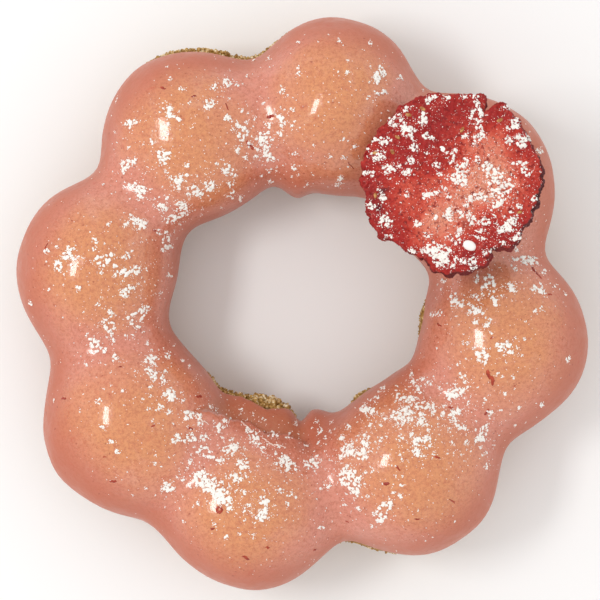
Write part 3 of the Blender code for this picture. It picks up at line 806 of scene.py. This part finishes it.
# Paler parts of the flesh: place from the slice's middle, reach and how pale.
PALE_PARTS = (
    (-1.0 * MM, -6.5 * MM, 4.2 * MM, 0.85),
    (8.0 * MM, 0.5 * MM, 4.8 * MM, 1.0),
    (2.5 * MM, -1.0 * MM, 5.0 * MM, 0.55),
    (7.0 * MM, 7.0 * MM, 4.0 * MM, 0.45),
    (-6.0 * MM, -1.0 * MM, 3.5 * MM, 0.35),
)
# Bruised parts: the same numbers, the last of them how dark.
DARK_PARTS = (
    (-9.9 * MM, -0.9 * MM, 0.6 * MM, 0.9),
    (-10.5 * MM, -3.7 * MM, 0.6 * MM, 0.85),
    (-11.4 * MM, -2.2 * MM, 1.8 * MM, 0.35),
    (-0.5 * MM, 10.0 * MM, 3.5 * MM, 0.12),
    (3.6 * MM, -6.4 * MM, 0.9 * MM, 0.35),
)

# The skin colour is the fruit's own dark red, deepened by painted shade.
SLICE_BRUISE, SLICE_SKIN_AND_SHADE = "#5e1420", "#4c1014"
# The same numbers as the icing's marks: dark pores, and juice dried as a pale bloom on the fibres.
FLESH_MARKS = (
    (0.7 * MM, 3.0, 0.7, 0.0, 0.48, 0.34, 1.0, "#8c1d1c"),
    (0.55 * MM, 4.0, 0.75, 0.0, 0.56, 0.70, 0.35, "#efb09c"),
)


def slice_radius(turn):
    """The slice's outline: an egg shape with an uneven edge, one notch and a few torn corners."""
    radius = SLICE_RADIUS + SLICE_EGG * np.cos(turn - math.radians(SLICE_EGG_ANGLE))
    radius = radius + SLICE_CRINKLE * np.sin(7.0 * turn + 0.7)
    radius = radius + SLICE_CRINKLE * 0.5 * np.sin(11.0 * turn + 1.9 * np.sin(4.0 * turn))
    radius = radius + SLICE_CRINKLE * 0.45 * np.sin(23.0 * turn + 2.4 * np.sin(5.0 * turn + 1.0))
    radius = radius + SLICE_CRINKLE * 0.35 * np.sin(41.0 * turn + 3.0 * np.sin(7.0 * turn))
    degrees = np.degrees(turn)
    notch = angle_bump(degrees, SLICE_NOTCH_ANGLE, SLICE_NOTCH_HALF_ANGLE)
    lobes = angle_bump(degrees, SLICE_NOTCH_ANGLE + 1.0, SLICE_LOBES_HALF_ANGLE)
    torn = sum(depth * angle_bump(degrees, at, half_angle) for at, half_angle, depth in SLICE_CORNERS)
    return radius + SLICE_LOBES_RISE * lobes - SLICE_NOTCH_DEPTH * notch - torn


def slice_rise(x, y):
    """How much the dried slice sags towards its rim, with its shallow ridges."""
    sag = SLICE_SAG * (x * x + y * y) / SLICE_RADIUS**2
    ridges = np.sin(x / SLICE_RELIEF_SIZE + 1.6 * np.sin(y / SLICE_RELIEF_SIZE))
    return SLICE_RELIEF * ridges * np.sin(1.3 * y / SLICE_RELIEF_SIZE + 0.9) - sag


def spots(x, y, parts):
    """How strongly some soft round spots show at places of the slice."""
    strength = np.zeros(x.shape)
    for at_x, at_y, reach, most in parts:
        strength = strength + most * np.exp(-(((x - at_x) ** 2 + (y - at_y) ** 2) / reach**2))
    return strength


def slice_pose():
    """Tilts the slice towards its low side and puts it in its place."""
    low = math.radians(SLICE_LOW_SIDE)
    hinge = Vector((-math.sin(low), math.cos(low), 0.0))
    place = Vector(SLICE_CENTRE) + SLICE_SHIFT + RING_AXIS
    return Matrix.Translation(place) @ Matrix.Rotation(math.radians(SLICE_TILT), 4, hinge)


bpy.ops.mesh.primitive_uv_sphere_add(segments=SLICE_AROUND, ring_count=SLICE_ROWS, radius=1.0)
berry = bpy.context.object
x, y, z = points_of(berry).T
turn = np.arctan2(y, x)
down = np.arccos(np.clip(z, -1.0, 1.0)) / math.pi
half = SLICE_THICKNESS / 2.0
outline = slice_radius(turn)
on_face = down <= FACE_SHARE
on_skin = (down > FACE_SHARE) & (down <= SKIN_SHARE)
down_skin = np.clip((down - FACE_SHARE) / (SKIN_SHARE - FACE_SHARE), 0.0, 1.0)
under = np.clip((down - SKIN_SHARE) / (1.0 - SKIN_SHARE), 0.0, 1.0)
face_share = down / FACE_SHARE
reach = SLICE_RADIUS + (outline - SLICE_RADIUS) * np.clip(face_share, 0.0, 1.0) ** 3
shows = sum(most * angle_bump(np.degrees(turn), at, reach_of) for at, reach_of, most in SLICE_SKIN_AND_SHADE_SIDES)
flare = SLICE_FLARE * (0.15 + 0.85 * shows)
radius = np.where(on_face, reach * face_share, outline + flare * np.sin(down_skin * math.pi * 0.75))
radius = np.where(under > 0.0, (outline + flare * 0.7) * (1.0 - under), radius)
height = np.where(on_face, half, half - SLICE_THICKNESS * 0.5 * (1.0 - np.cos(down_skin * math.pi)))
rim_wave = np.sin(9.0 * turn + 2.0 * np.sin(4.0 * turn))
rim_wave = rim_wave + 0.6 * np.sin(21.0 * turn + 2.0 * np.sin(6.0 * turn))
waved = np.where(on_face, np.clip(face_share, 0.0, 1.0) ** 6, 1.0 - under)
height = height + SLICE_RIM_WAVE * rim_wave * waved
x, y = radius * np.cos(turn), radius * np.sin(turn)
move_points(berry, np.stack((x, y, height + slice_rise(x, y)), axis=-1))
keep_values(berry, "pale_here", np.clip(spots(x, y, PALE_PARTS), 0.0, 1.0))
keep_values(berry, "dark_here", np.clip(spots(x, y, DARK_PARTS), 0.0, 0.9))
# The skin's dark colour, partly painted shade, is strongest on the listed sides.
skin_and_shade_here = np.where(on_skin | (under > 0.0), smooth_step(0.0, 0.25, down_skin), 0.0)
keep_values(berry, "skin_and_shade_here", skin_and_shade_here * np.where(under > 0.0, 1.0, 0.25 + 0.75 * shows))
for relief in SLICE_PORES:
    roughen(berry, *relief)
berry.data.transform(slice_pose())

# Freeze-dried flesh is matt and porous, and light goes only a little way into it.
fruit, tree, shader = new_material(
    "dried_strawberry_flesh",
    {
        "Roughness": 0.7,
        "IOR": 1.45,
        "Subsurface Weight": 0.15,
        "Subsurface Radius": (1.0, 0.25, 0.2),
        "Subsurface Scale": 0.6 * MM,
    },
)
space = node(tree, "TexCoord", output="Object")
fibres = node(
    tree,
    "TexNoise",
    {"Vector": space, "Scale": 1.0 / (3.0 * MM), "Detail": 5.0, "Roughness": 0.65, "Distortion": 0.6},
)
pale_here, dark_here, skin_and_shade_here = [
    node(tree, "Attribute", output="Fac", attribute_name=name)
    for name in ("pale_here", "dark_here", "skin_and_shade_here")
]
zone = node(tree, "Math", {0: fibres, 1: 1.1, 2: -0.55}, operation="MULTIPLY_ADD")
zone = node(tree, "Math", {0: pale_here, 1: zone}, operation="ADD")
flesh_stops = ((0.0, "#ab1f1c"), (0.25, "#c23527"), (0.55, "#dc5f48"), (0.95, "#ea967a"))
flesh = node(tree, "ValToRGB", {"Fac": zone}, stops=flesh_stops)
flesh = patterned(tree, space, flesh, FLESH_MARKS)
for share, colour in ((dark_here, SLICE_BRUISE), (skin_and_shade_here, SLICE_SKIN_AND_SHADE)):
    flesh = node(tree, "Mix", {0: share, 6: flesh, 7: hex_colour(colour)}, output=2, data_type="RGBA")
tree.links.new(flesh, shader.inputs["Base Color"])
pitted = node(tree, "TexNoise", {"Vector": space, "Scale": 1.0 / (0.3 * MM), "Detail": 3.0, "Roughness": 0.7})
bump = node(tree, "Bump", {"Height": pitted, "Distance": 0.15 * MM}, output="Normal")
tree.links.new(bump, shader.inputs["Normal"])
finish_piece(berry, "dried_strawberry_slice", fruit)
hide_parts("strawberry_slice")

# Strawberry seeds
# The fruit's own seeds, tan and smooth, left in the cut face near its rim.
# Each row: place from the slice's middle in mm and turn in degrees.
SEEDS = (
    (2.3, 8.9, 80), (-4.0, 12.4, -40), (-6.2, 11.4, -20), (-8.0, 7.8, -30), (-8.8, 5.4, -35),
    (8.3, 10.4, 25), (-11.6, 5.3, 10), (-11.6, -1.6, 80), (11.4, -4.4, 70),
)
SEED_HALF_SIZES = (0.54 * MM, 0.3 * MM, 0.22 * MM)
berry_surface = surface_of(berry)
rows = np.array(SEEDS)
plan_x, plan_y = rows[:, 0] * MM + SLICE_CENTRE[0], rows[:, 1] * MM + SLICE_CENTRE[1]
place, normal, hit = landed(berry_surface, plan_x, plan_y)
place, normal, rows = place[hit], normal[hit], rows[hit]
sizes = np.tile(SEED_HALF_SIZES, (len(rows), 1)) * rng.uniform(0.8, 1.1, (len(rows), 1))
seeds = joined_lumps("strawberry_seeds", template(3), place, normal, np.radians(rows[:, 2]), sizes, 0.0, rng)
# Seed husks are smooth and woody, with a faint gloss.
husk, tree, shader = new_material("seed_husk", {"Roughness": 0.4, "IOR": 1.47})
space = node(tree, "TexCoord", output="Object")
toned = node(tree, "TexNoise", {"Vector": space, "Scale": 1.0 / (0.8 * MM), "Detail": 2.0, "Roughness": 0.55})
husk_colour = node(tree, "ValToRGB", {"Fac": toned}, stops=((0.4, "#a0602e"), (0.6, "#d09a5c")))
tree.links.new(husk_colour, shader.inputs["Base Color"])
finish_piece(seeds, "strawberry_seeds", husk)

# Caked sugar
# White sugar was shaken over the ring and drew damp, so that its grains caked into ragged clumps.
# Each row is a clump: place seen from above, half length and half width in mm, turn in degrees.
SUGAR_CLUMPS = (
    (25.2, 0.4, 1.3, 0.7, -55), (39.0, 2.3, 1.0, 0.6, -60), (34.1, 2.7, 0.9, 0.7, -30),
    (30.8, 2.5, 2.1, 0.7, -78), (36.9, 7.2, 1.9, 0.7, -5), (12.3, 37.3, 1.7, 0.6, 65),
    (-5.6, 24.3, 1.3, 0.8, -50), (-6.5, 27.1, 1.0, 0.9, 0), (-3.5, 30.2, 1.4, 0.5, -60),
    (-12.2, 36.2, 0.8, 0.7, 0), (-9.7, 27.8, 1.2, 0.7, 80), (-14.8, 32.6, 0.8, 0.7, 60),
    (-12.0, 21.8, 1.1, 0.7, -40), (-21.6, 30.8, 1.5, 0.5, 95), (-15.0, 19.5, 1.1, 0.8, -70),
    (-22.4, 23.9, 1.3, 0.9, 70), (-17.2, 18.3, 1.1, 0.7, -50), (-28.1, 29.4, 0.9, 0.7, 20),
    (-20.2, 20.4, 1.3, 0.6, 20), (-28.5, 22.8, 1.6, 0.7, 35), (-19.5, 15.6, 1.2, 0.8, 60),
    (-26.6, 18.7, 1.4, 0.8, -20), (-23.0, 15.9, 1.0, 0.5, 0), (-21.2, 14.2, 1.5, 0.6, 15),
    (-26.7, 13.2, 1.2, 0.9, -30), (-22.5, 10.3, 1.5, 0.5, 80), (-32.3, 7.1, 1.4, 0.8, 15),
    (-38.1, 8.1, 1.3, 0.7, 35), (-27.6, 5.4, 1.8, 0.7, 20), (-39.5, 6.3, 0.9, 0.7, -60),
    (-28.6, 2.1, 1.1, 0.5, 60), (-27.0, -2.3, 1.6, 1.0, 55), (-31.5, -3.5, 1.0, 0.8, -40),
    (-33.9, -6.6, 1.2, 0.8, -75), (-24.7, -9.1, 1.3, 0.7, 30), (-24.5, -11.4, 1.2, 0.7, -60),
    (-21.5, -14.8, 1.0, 0.9, -40), (-18.4, -18.1, 0.9, 0.7, 0), (-19.2, -21.8, 1.6, 0.6, -10),
    (-21.9, -29.8, 1.0, 0.9, 0), (-13.0, -19.7, 1.2, 0.6, 40), (-15.8, -24.2, 1.2, 0.7, -30),
    (-16.3, -28.5, 2.1, 1.3, -20), (-11.6, -23.6, 1.5, 0.7, 15), (-13.9, -30.2, 2.0, 1.3, -50),
    (-12.4, -31.5, 1.3, 1.0, -60), (-10.6, -28.1, 1.0, 0.8, 0), (-9.7, -26.0, 0.9, 0.8, 0),
    (-8.0, -21.8, 1.3, 0.7, -60), (-6.2, -32.0, 1.1, 0.6, -20), (-6.4, -34.1, 1.1, 0.9, 20),
    (-2.7, -26.1, 1.6, 1.2, -15), (1.6, -26.4, 1.2, 0.7, 20), (7.9, -28.7, 2.3, 1.5, -60),
    (7.1, -24.1, 1.2, 0.9, 20), (13.3, -33.6, 1.7, 0.8, 70), (10.0, -24.3, 1.1, 0.9, 40),
    (10.4, -22.3, 1.0, 0.8, 70), (10.7, -17.5, 1.1, 0.7, -15), (18.6, -23.9, 1.0, 0.6, -40),
    (15.4, -18.2, 1.1, 0.7, 60), (19.0, -22.0, 1.5, 0.5, 15), (17.4, -18.0, 1.2, 0.9, -50),
    (19.5, -18.9, 0.9, 0.7, -60), (17.6, -15.5, 1.2, 0.6, 0), (19.8, -16.4, 1.2, 0.5, 10),
    (25.9, -19.9, 1.1, 0.6, -20), (29.5, -21.6, 1.3, 0.7, 50), (25.1, -17.5, 0.9, 0.7, 20),
    (24.9, -14.5, 1.9, 0.8, 15), (29.2, -8.5, 0.9, 0.8, 0), (32.7, -6.7, 1.3, 0.9, -40),
    (28.3, -1.0, 1.1, 0.7, 0), (38.9, 25.2, 0.9, 0.4, 20),
)
SLICE_CLUMPS = (
    (7.1, 1.8, 2.0, 1.3, -50), (8.8, -0.6, 1.9, 0.9, 20), (8.0, -2.9, 1.6, 0.8, 40),
    (1.7, 1.2, 1.6, 1.2, 20), (-1.6, -11.0, 2.2, 1.6, -35), (-1.8, -11.2, 1.6, 1.0, -35),
    (-0.6, -12.1, 1.1, 0.7, -50), (0.3, 4.5, 0.9, 0.6, -50), (-6.5, 8.9, 1.2, 1.0, 0),
    (4.6, 11.4, 1.3, 0.9, 70), (10.4, 9.5, 1.0, 0.8, 20), (12.0, 7.0, 1.0, 0.8, -60),
    (-11.0, 4.8, 1.1, 0.8, 0), (-10.0, 7.2, 0.8, 0.8, 0), (-4.0, 10.6, 1.1, 0.7, 70),
    (9.7, -6.4, 1.6, 0.8, 40), (0.1, -4.4, 0.9, 0.6, 80), (3.8, -12.4, 1.2, 0.6, 80),
    (-10.0, -5.8, 1.3, 0.8, -40), (-9.0, 2.8, 1.3, 0.8, 20), (-6.4, 12.4, 0.8, 0.35, 20),
    (9.7, 12.5, 1.1, 0.35, 10), (12.1, 10.6, 0.9, 0.7, 20), (13.0, 7.8, 0.8, 0.6, -40),
    (9.7, 7.1, 0.8, 0.6, 80), (-5.9, -10.5, 0.8, 0.4, -20), (-9.4, -8.5, 0.6, 0.5, -40),
    (10.7, -8.7, 1.2, 0.5, 30), (8.5, -7.2, 0.9, 0.5, 10), (10.0, -5.9, 1.2, 0.5, 30),
    (11.3, -3.5, 0.6, 0.4, -30), (12.5, 2.1, 0.9, 0.5, -30), (11.0, 3.5, 0.6, 0.3, 15),
    (3.8, -2.0, 1.0, 0.6, 20), (5.9, -5.9, 0.6, 0.6, 0), (3.9, -5.6, 0.5, 0.6, 0),
    (-2.8, -1.5, 1.1, 0.4, 15), (-5.3, 6.2, 0.7, 0.7, 0), (-1.7, 3.3, 0.6, 0.5, 0),
    (-4.9, -6.1, 0.5, 0.6, 0), (2.0, -4.6, 0.6, 0.5, 80), (-12.2, -3.3, 1.0, 0.5, -20),
    (-10.5, -2.1, 0.7, 0.4, -40), (-12.1, 2.0, 0.5, 0.4, 0), (-13.2, 2.0, 0.5, 0.35, 0),
    (-8.4, 9.8, 0.55, 0.45, 0), (-7.2, 10.4, 0.4, 0.35, 0), (-3.4, 8.1, 0.5, 0.4, 90),
    (-5.9, 4.0, 0.7, 0.6, -50), (-6.4, 2.1, 0.6, 0.6, 0), (1.8, 3.1, 0.8, 0.5, 30),
    (5.5, -1.9, 0.7, 0.6, 0), (2.8, -3.2, 0.5, 0.4, 0), (5.0, -8.5, 0.9, 0.3, -20),
    (5.0, -7.4, 0.9, 0.3, 10), (1.8, -7.4, 0.5, 0.4, 0), (2.2, -12.2, 0.4, 0.5, 0),
    (0.7, -13.1, 0.4, 0.4, 0), (11.1, 7.7, 0.5, 0.3, 80), (5.0, 9.4, 0.8, 0.4, -40),
    (5.2, 7.7, 1.0, 0.5, 20), (2.8, 7.7, 0.6, 0.4, 0), (4.8, 4.1, 0.5, 0.4, 80), (-2.5, 14.3, 0.8, 0.3, 0),
    (-0.2, 14.1, 0.5, 0.3, 0), (2.8, 14.3, 0.5, 0.3, 0), (4.6, 14.3, 0.4, 0.3, 0),
    (-11.7, 7.4, 0.6, 0.4, 20), (-12.7, 5.7, 0.35, 0.3, 0), (-8.8, 11.0, 0.5, 0.5, 0),
    (13.7, -2.3, 0.5, 0.4, 0), (7.0, -10.4, 0.7, 0.3, 40),
)
# Smooth oval flakes on the slice: the same numbers as a clump's.
SMOOTH_FLAKES = ((3.4, -9.7, 1.1, 0.8, -25), (-0.8, 5.8, 0.6, 0.4, -45), (-2.0, -5.2, 0.55, 0.38, 60))
LUMP = 0.25 * MM  # half size of a usual lump
GRAIN = 0.08 * MM  # half size of a usual loose grain
FLATNESS = 0.5  # a lump's height for its width
LUMPS_PER_AREA = 26.0  # for each mm2 of half length times half width
GRAINS_PER_RIM = 15.0  # for each mm of half length and half width
RING_SHAPED = 0.14  # share of the clumps that dried with an open middle
SMALL_CLUMPS = 880
DUST_GRAINS = 4200
# How much small sugar lies in each eighth of the ring, from the right-hand side round.
SUGAR_BY_EIGHTH = (0.95, 0.45, 1.15, 0.8, 0.95, 0.95, 1.2, 1.4)
MOST_SUGAR = 1.6  # above the largest of those shares, for the draw
SLICE_KEEP_OFF = 0.6 * MM
STEEPEST = 0.3  # the normal's Z where sugar slides off


def caked(rows, rng):
    """Plan places and half sizes of every clump's lumps, and of the loose grains about its rim."""
    lumps, grains = [], []
    for x, y, half_length, half_width, turn in rows:
        angle = math.radians(turn)
        waves = rng.uniform(0.0, math.tau, 3)
        count = 1 + int(LUMPS_PER_AREA * half_length * half_width)
        loose = int(GRAINS_PER_RIM * (half_length + half_width))
        around = rng.uniform(0.0, math.tau, count + loose)
        ragged = 1.0 + 0.24 * np.sin(3.0 * around + waves[0]) + 0.18 * np.sin(5.0 * around + waves[1])
        ragged += 0.12 * np.sin(8.0 * around + waves[2])
        inside = np.sqrt(rng.random(count)) * 0.98
        if count > 2 and rng.random() < RING_SHAPED:
            inside = rng.uniform(0.78, 1.0, count)
        share = np.concatenate((inside, 0.75 + 0.35 * np.abs(rng.standard_normal(loose)))) * ragged
        along, aside = share * np.cos(around) * half_length, share * np.sin(around) * half_width
        size = LUMP * rng.uniform(0.55, 1.3, count)
        size = np.minimum(size, half_length * MM * rng.uniform(0.75, 1.0, count))
        plan_x, plan_y = np.array(moved(x, y, along, aside, angle)) * MM
        lumps.append(np.stack((plan_x[:count], plan_y[:count], size), axis=-1))
        size = GRAIN * rng.uniform(0.6, 1.5, loose)
        grains.append(np.stack((plan_x[count:], plan_y[count:], size), axis=-1))
    return np.concatenate(lumps), np.concatenate(grains)


def scattered(name, shape, surface, rows, jitter, rng):
    """A joined piece of lumps dropped on a surface; each row is a plan place and a half size."""
    x, y, sizes = rows.T
    place, normal, hit = landed(surface, x, y)
    kept = hit & (normal[:, 2] > STEEPEST)
    place, normal, sizes = place[kept], normal[kept], sizes[kept]
    place = place + normal * (sizes * FLATNESS * 0.55)[:, None]
    turns = rng.uniform(0.0, math.tau, len(place))
    three = sizes[:, None] * rng.uniform(0.7, 1.05, (len(place), 3)) * np.array((1.0, 0.9, FLATNESS))
    return joined_lumps(name, shape, place, normal, turns, three, jitter, rng)


def clear_of_slice(x, y):
    """Whether plan places are off the strawberry slice."""
    offset_x, offset_y = x - SLICE_CENTRE[0] - SLICE_SHIFT.x, y - SLICE_CENTRE[1]
    return np.hypot(offset_x, offset_y) > slice_radius(np.arctan2(offset_y, offset_x)) + SLICE_KEEP_OFF


def crystal():
    """Corners and faces of one grain, a small cube as sugar's crystals are."""
    bpy.ops.mesh.primitive_cube_add(size=1.6)
    return taken(bpy.context.object)


def shaken_place(rng):
    """A plan place in mm where some sugar fell: often near a clump, and more in some parts than others."""
    while True:
        if rng.random() < 0.5:
            near = SUGAR_CLUMPS[rng.integers(len(SUGAR_CLUMPS))]
            x, y = near[0] + 2.6 * rng.standard_normal(), near[1] + 2.6 * rng.standard_normal()
        else:
            radius, turn = rng.uniform(19.0, 45.0), rng.uniform(0.0, math.tau)
            x, y = radius * math.cos(turn), radius * math.sin(turn)
        eighth = int((math.degrees(math.atan2(y, x)) + 22.5) % 360.0 // 45.0)
        inwards = 1.1 - 0.55 * smooth_step(33.0, 45.0, math.hypot(x, y))
        if rng.random() < SUGAR_BY_EIGHTH[eighth] * inwards / MOST_SUGAR:
            return x, y


rng = np.random.default_rng(11)
small_rows = []
for _ in range(SMALL_CLUMPS):
    half_length = 0.12 + 0.44 * rng.random() ** 2.2
    place = shaken_place(rng)
    half_width = half_length * rng.uniform(0.5, 1.0)
    small_rows.append((*place, half_length, half_width, rng.uniform(0.0, 180.0)))
large, large_grains = caked(SUGAR_CLUMPS, rng)
small, small_grains = caked(small_rows, rng)
dust = np.array([(*shaken_place(rng), rng.uniform(0.04, 0.11)) for _ in range(DUST_GRAINS)]) * MM
grains = np.concatenate((large_grains, small_grains, dust))
large, small, grains = [rows[clear_of_slice(rows[:, 0], rows[:, 1])] for rows in (large, small, grains)]
flake, chip, grain = template(2), template(1), crystal()
sugar = scattered("icing_sugar_clumps", flake, icing_surface, large, 0.38, rng)
sugar_specks = scattered("icing_sugar_specks", chip, icing_surface, small, 0.3, rng)
sugar_dust = scattered("icing_sugar_dust", grain, icing_surface, grains, 0.2, rng)
# Caked sugar is dry, dense and pure white, with a sparkle where a crystal faces the light.
white_sugar, tree, shader = new_material(
    "white_sugar", {"Base Color": hex_colour("#fdf9f2"), "Roughness": 0.5, "IOR": 1.54}
)
for piece in (sugar, sugar_specks, sugar_dust):
    finish_piece(piece, piece.name, white_sugar)
    piece.data.shade_flat()

# Sugar on the strawberry slice
# More of the same sugar, caught on the dry fruit as lumps and as a dusting all over its cut face.
SLICE_SMALL_CLUMPS = 120
SLICE_DUST = 2200
DUSTIEST = (4.0, -3.0)  # from the slice's middle, in mm


def place_on_slice(rng, spread):
    """A plan place in mm from the slice's middle, within its rim and oftener near the dustiest part."""
    while True:
        chance = rng.random()
        if chance < 0.35:
            x, y = DUSTIEST[0] + spread * rng.standard_normal(), DUSTIEST[1] + spread * rng.standard_normal()
        elif chance < 0.75:
            near = SLICE_CLUMPS[rng.integers(len(SLICE_CLUMPS))]
            x, y = near[0] + 1.5 * rng.standard_normal(), near[1] + 1.5 * rng.standard_normal()
        else:
            turn, reach = rng.uniform(0.0, math.tau), 15.4 * math.sqrt(rng.random())
            x, y = reach * math.cos(turn), reach * math.sin(turn)
        if math.hypot(x, y) < float(slice_radius(np.array(math.atan2(y, x)))) / MM - 0.1:
            return x, y


small_rows = []
for _ in range(SLICE_SMALL_CLUMPS):
    half_length = 0.12 + 0.45 * rng.random() ** 2.0
    place = place_on_slice(rng, 5.5)
    half_width = half_length * rng.uniform(0.55, 1.0)
    small_rows.append((*place, half_length, half_width, rng.uniform(0.0, 180.0)))
large, large_grains = caked(SLICE_CLUMPS, rng)
small, small_grains = caked(small_rows, rng)
dust = np.array([(*place_on_slice(rng, 6.0), rng.uniform(0.03, 0.09)) for _ in range(SLICE_DUST)]) * MM
grains = np.concatenate((large_grains, small_grains, dust))
centre = np.array((*SLICE_CENTRE[:2], 0.0))
slice_sugar = scattered("slice_sugar_clumps", flake, berry_surface, large + centre, 0.38, rng)
slice_specks = scattered("slice_sugar_specks", chip, berry_surface, small + centre, 0.3, rng)
slice_dust = scattered("slice_sugar_dust", grain, berry_surface, grains + centre, 0.2, rng)
rows = np.array(SMOOTH_FLAKES)
plan_x, plan_y = rows[:, 0] * MM + SLICE_CENTRE[0], rows[:, 1] * MM + SLICE_CENTRE[1]
place, normal, _ = landed(berry_surface, plan_x, plan_y)
tilted = normal * 0.3 + np.array((0.0, 0.0, 1.0))
tilted /= np.linalg.norm(tilted, axis=-1, keepdims=True)
sizes = np.stack((rows[:, 2] * MM, rows[:, 3] * MM, rows[:, 3] * MM * 0.4), axis=-1)
place = place + tilted * sizes[:, 2:] * 0.6
turns = np.radians(rows[:, 4])
flakes = joined_lumps("slice_sugar_flakes", template(3), place, tilted, turns, sizes, 0.02, rng)
for piece in (slice_sugar, slice_specks, slice_dust, flakes):
    finish_piece(piece, piece.name, white_sugar)
for piece in (slice_sugar, slice_specks, slice_dust):
    piece.data.shade_flat()

# Stage
# A plain white sheet under one soft key light from the left of straight above, with even fill.
bpy.ops.mesh.primitive_plane_add(size=3.0)
floor = bpy.context.object
floor.name = "white_floor"
paper, tree, shader = new_material("white_paper", {"Base Color": hex_colour("#fcfbfa"), "Roughness": 0.9})
floor.data.materials.append(paper)
floor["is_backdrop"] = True

KEY_TILT = 34.0  # degrees from straight above
KEY_DISTANCE = 0.6
KEY_BACK = 0.05
KEY_TARGET = Vector((0.0, 0.0, 0.02))
KEY_SIZE = (0.22, 0.1)
KEY_POWER = 0.92
FILL_STRENGTH = 0.88
tilt = math.radians(KEY_TILT)
softbox = bpy.data.lights.new("key_softbox", "AREA")
softbox.shape = "RECTANGLE"
softbox.size, softbox.size_y = KEY_SIZE
softbox.energy = KEY_POWER
lamp = bpy.data.objects.new("key_softbox", softbox)
bpy.context.scene.collection.objects.link(lamp)
lamp.location = (-KEY_DISTANCE * math.sin(tilt), KEY_BACK, KEY_DISTANCE * math.cos(tilt))
lamp.rotation_euler = (KEY_TARGET - lamp.location).to_track_quat("-Z", "Y").to_euler()

world = bpy.data.worlds.new("studio")
bpy.context.scene.world = world
world.use_nodes = True
sky = world.node_tree.nodes["Background"]
sky.inputs["Color"].default_value = (1.0, 1.0, 1.0, 1.0)
sky.inputs["Strength"].default_value = FILL_STRENGTH

# Camera
# Straight above, as in the photo, looking down on the widest line of the ring.
CAMERA_HEIGHT = 462.5 * MM
WIDEST_LINE_Z = 12.5 * MM
VIEW_WIDTH = 100.2 * MM
VIEW_MIDDLE = (-0.33 * MM, 0.67 * MM)
lens = bpy.data.cameras.new("camera")
camera = bpy.data.objects.new("camera", lens)
bpy.context.scene.collection.objects.link(camera)
camera.location = (VIEW_MIDDLE[0] + RING_AXIS.x, VIEW_MIDDLE[1] + RING_AXIS.y, CAMERA_HEIGHT)
lens.angle = 2.0 * math.atan(VIEW_WIDTH / 2.0 / (CAMERA_HEIGHT - WIDEST_LINE_Z))
lens.clip_start = 10.0 * MM
bpy.context.scene.camera = camera
bpy.context.scene.view_settings.view_transform = "Standard"

sizes = {"packed": [list(c) for c in packed_size], "shown": [list(c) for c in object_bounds()]}
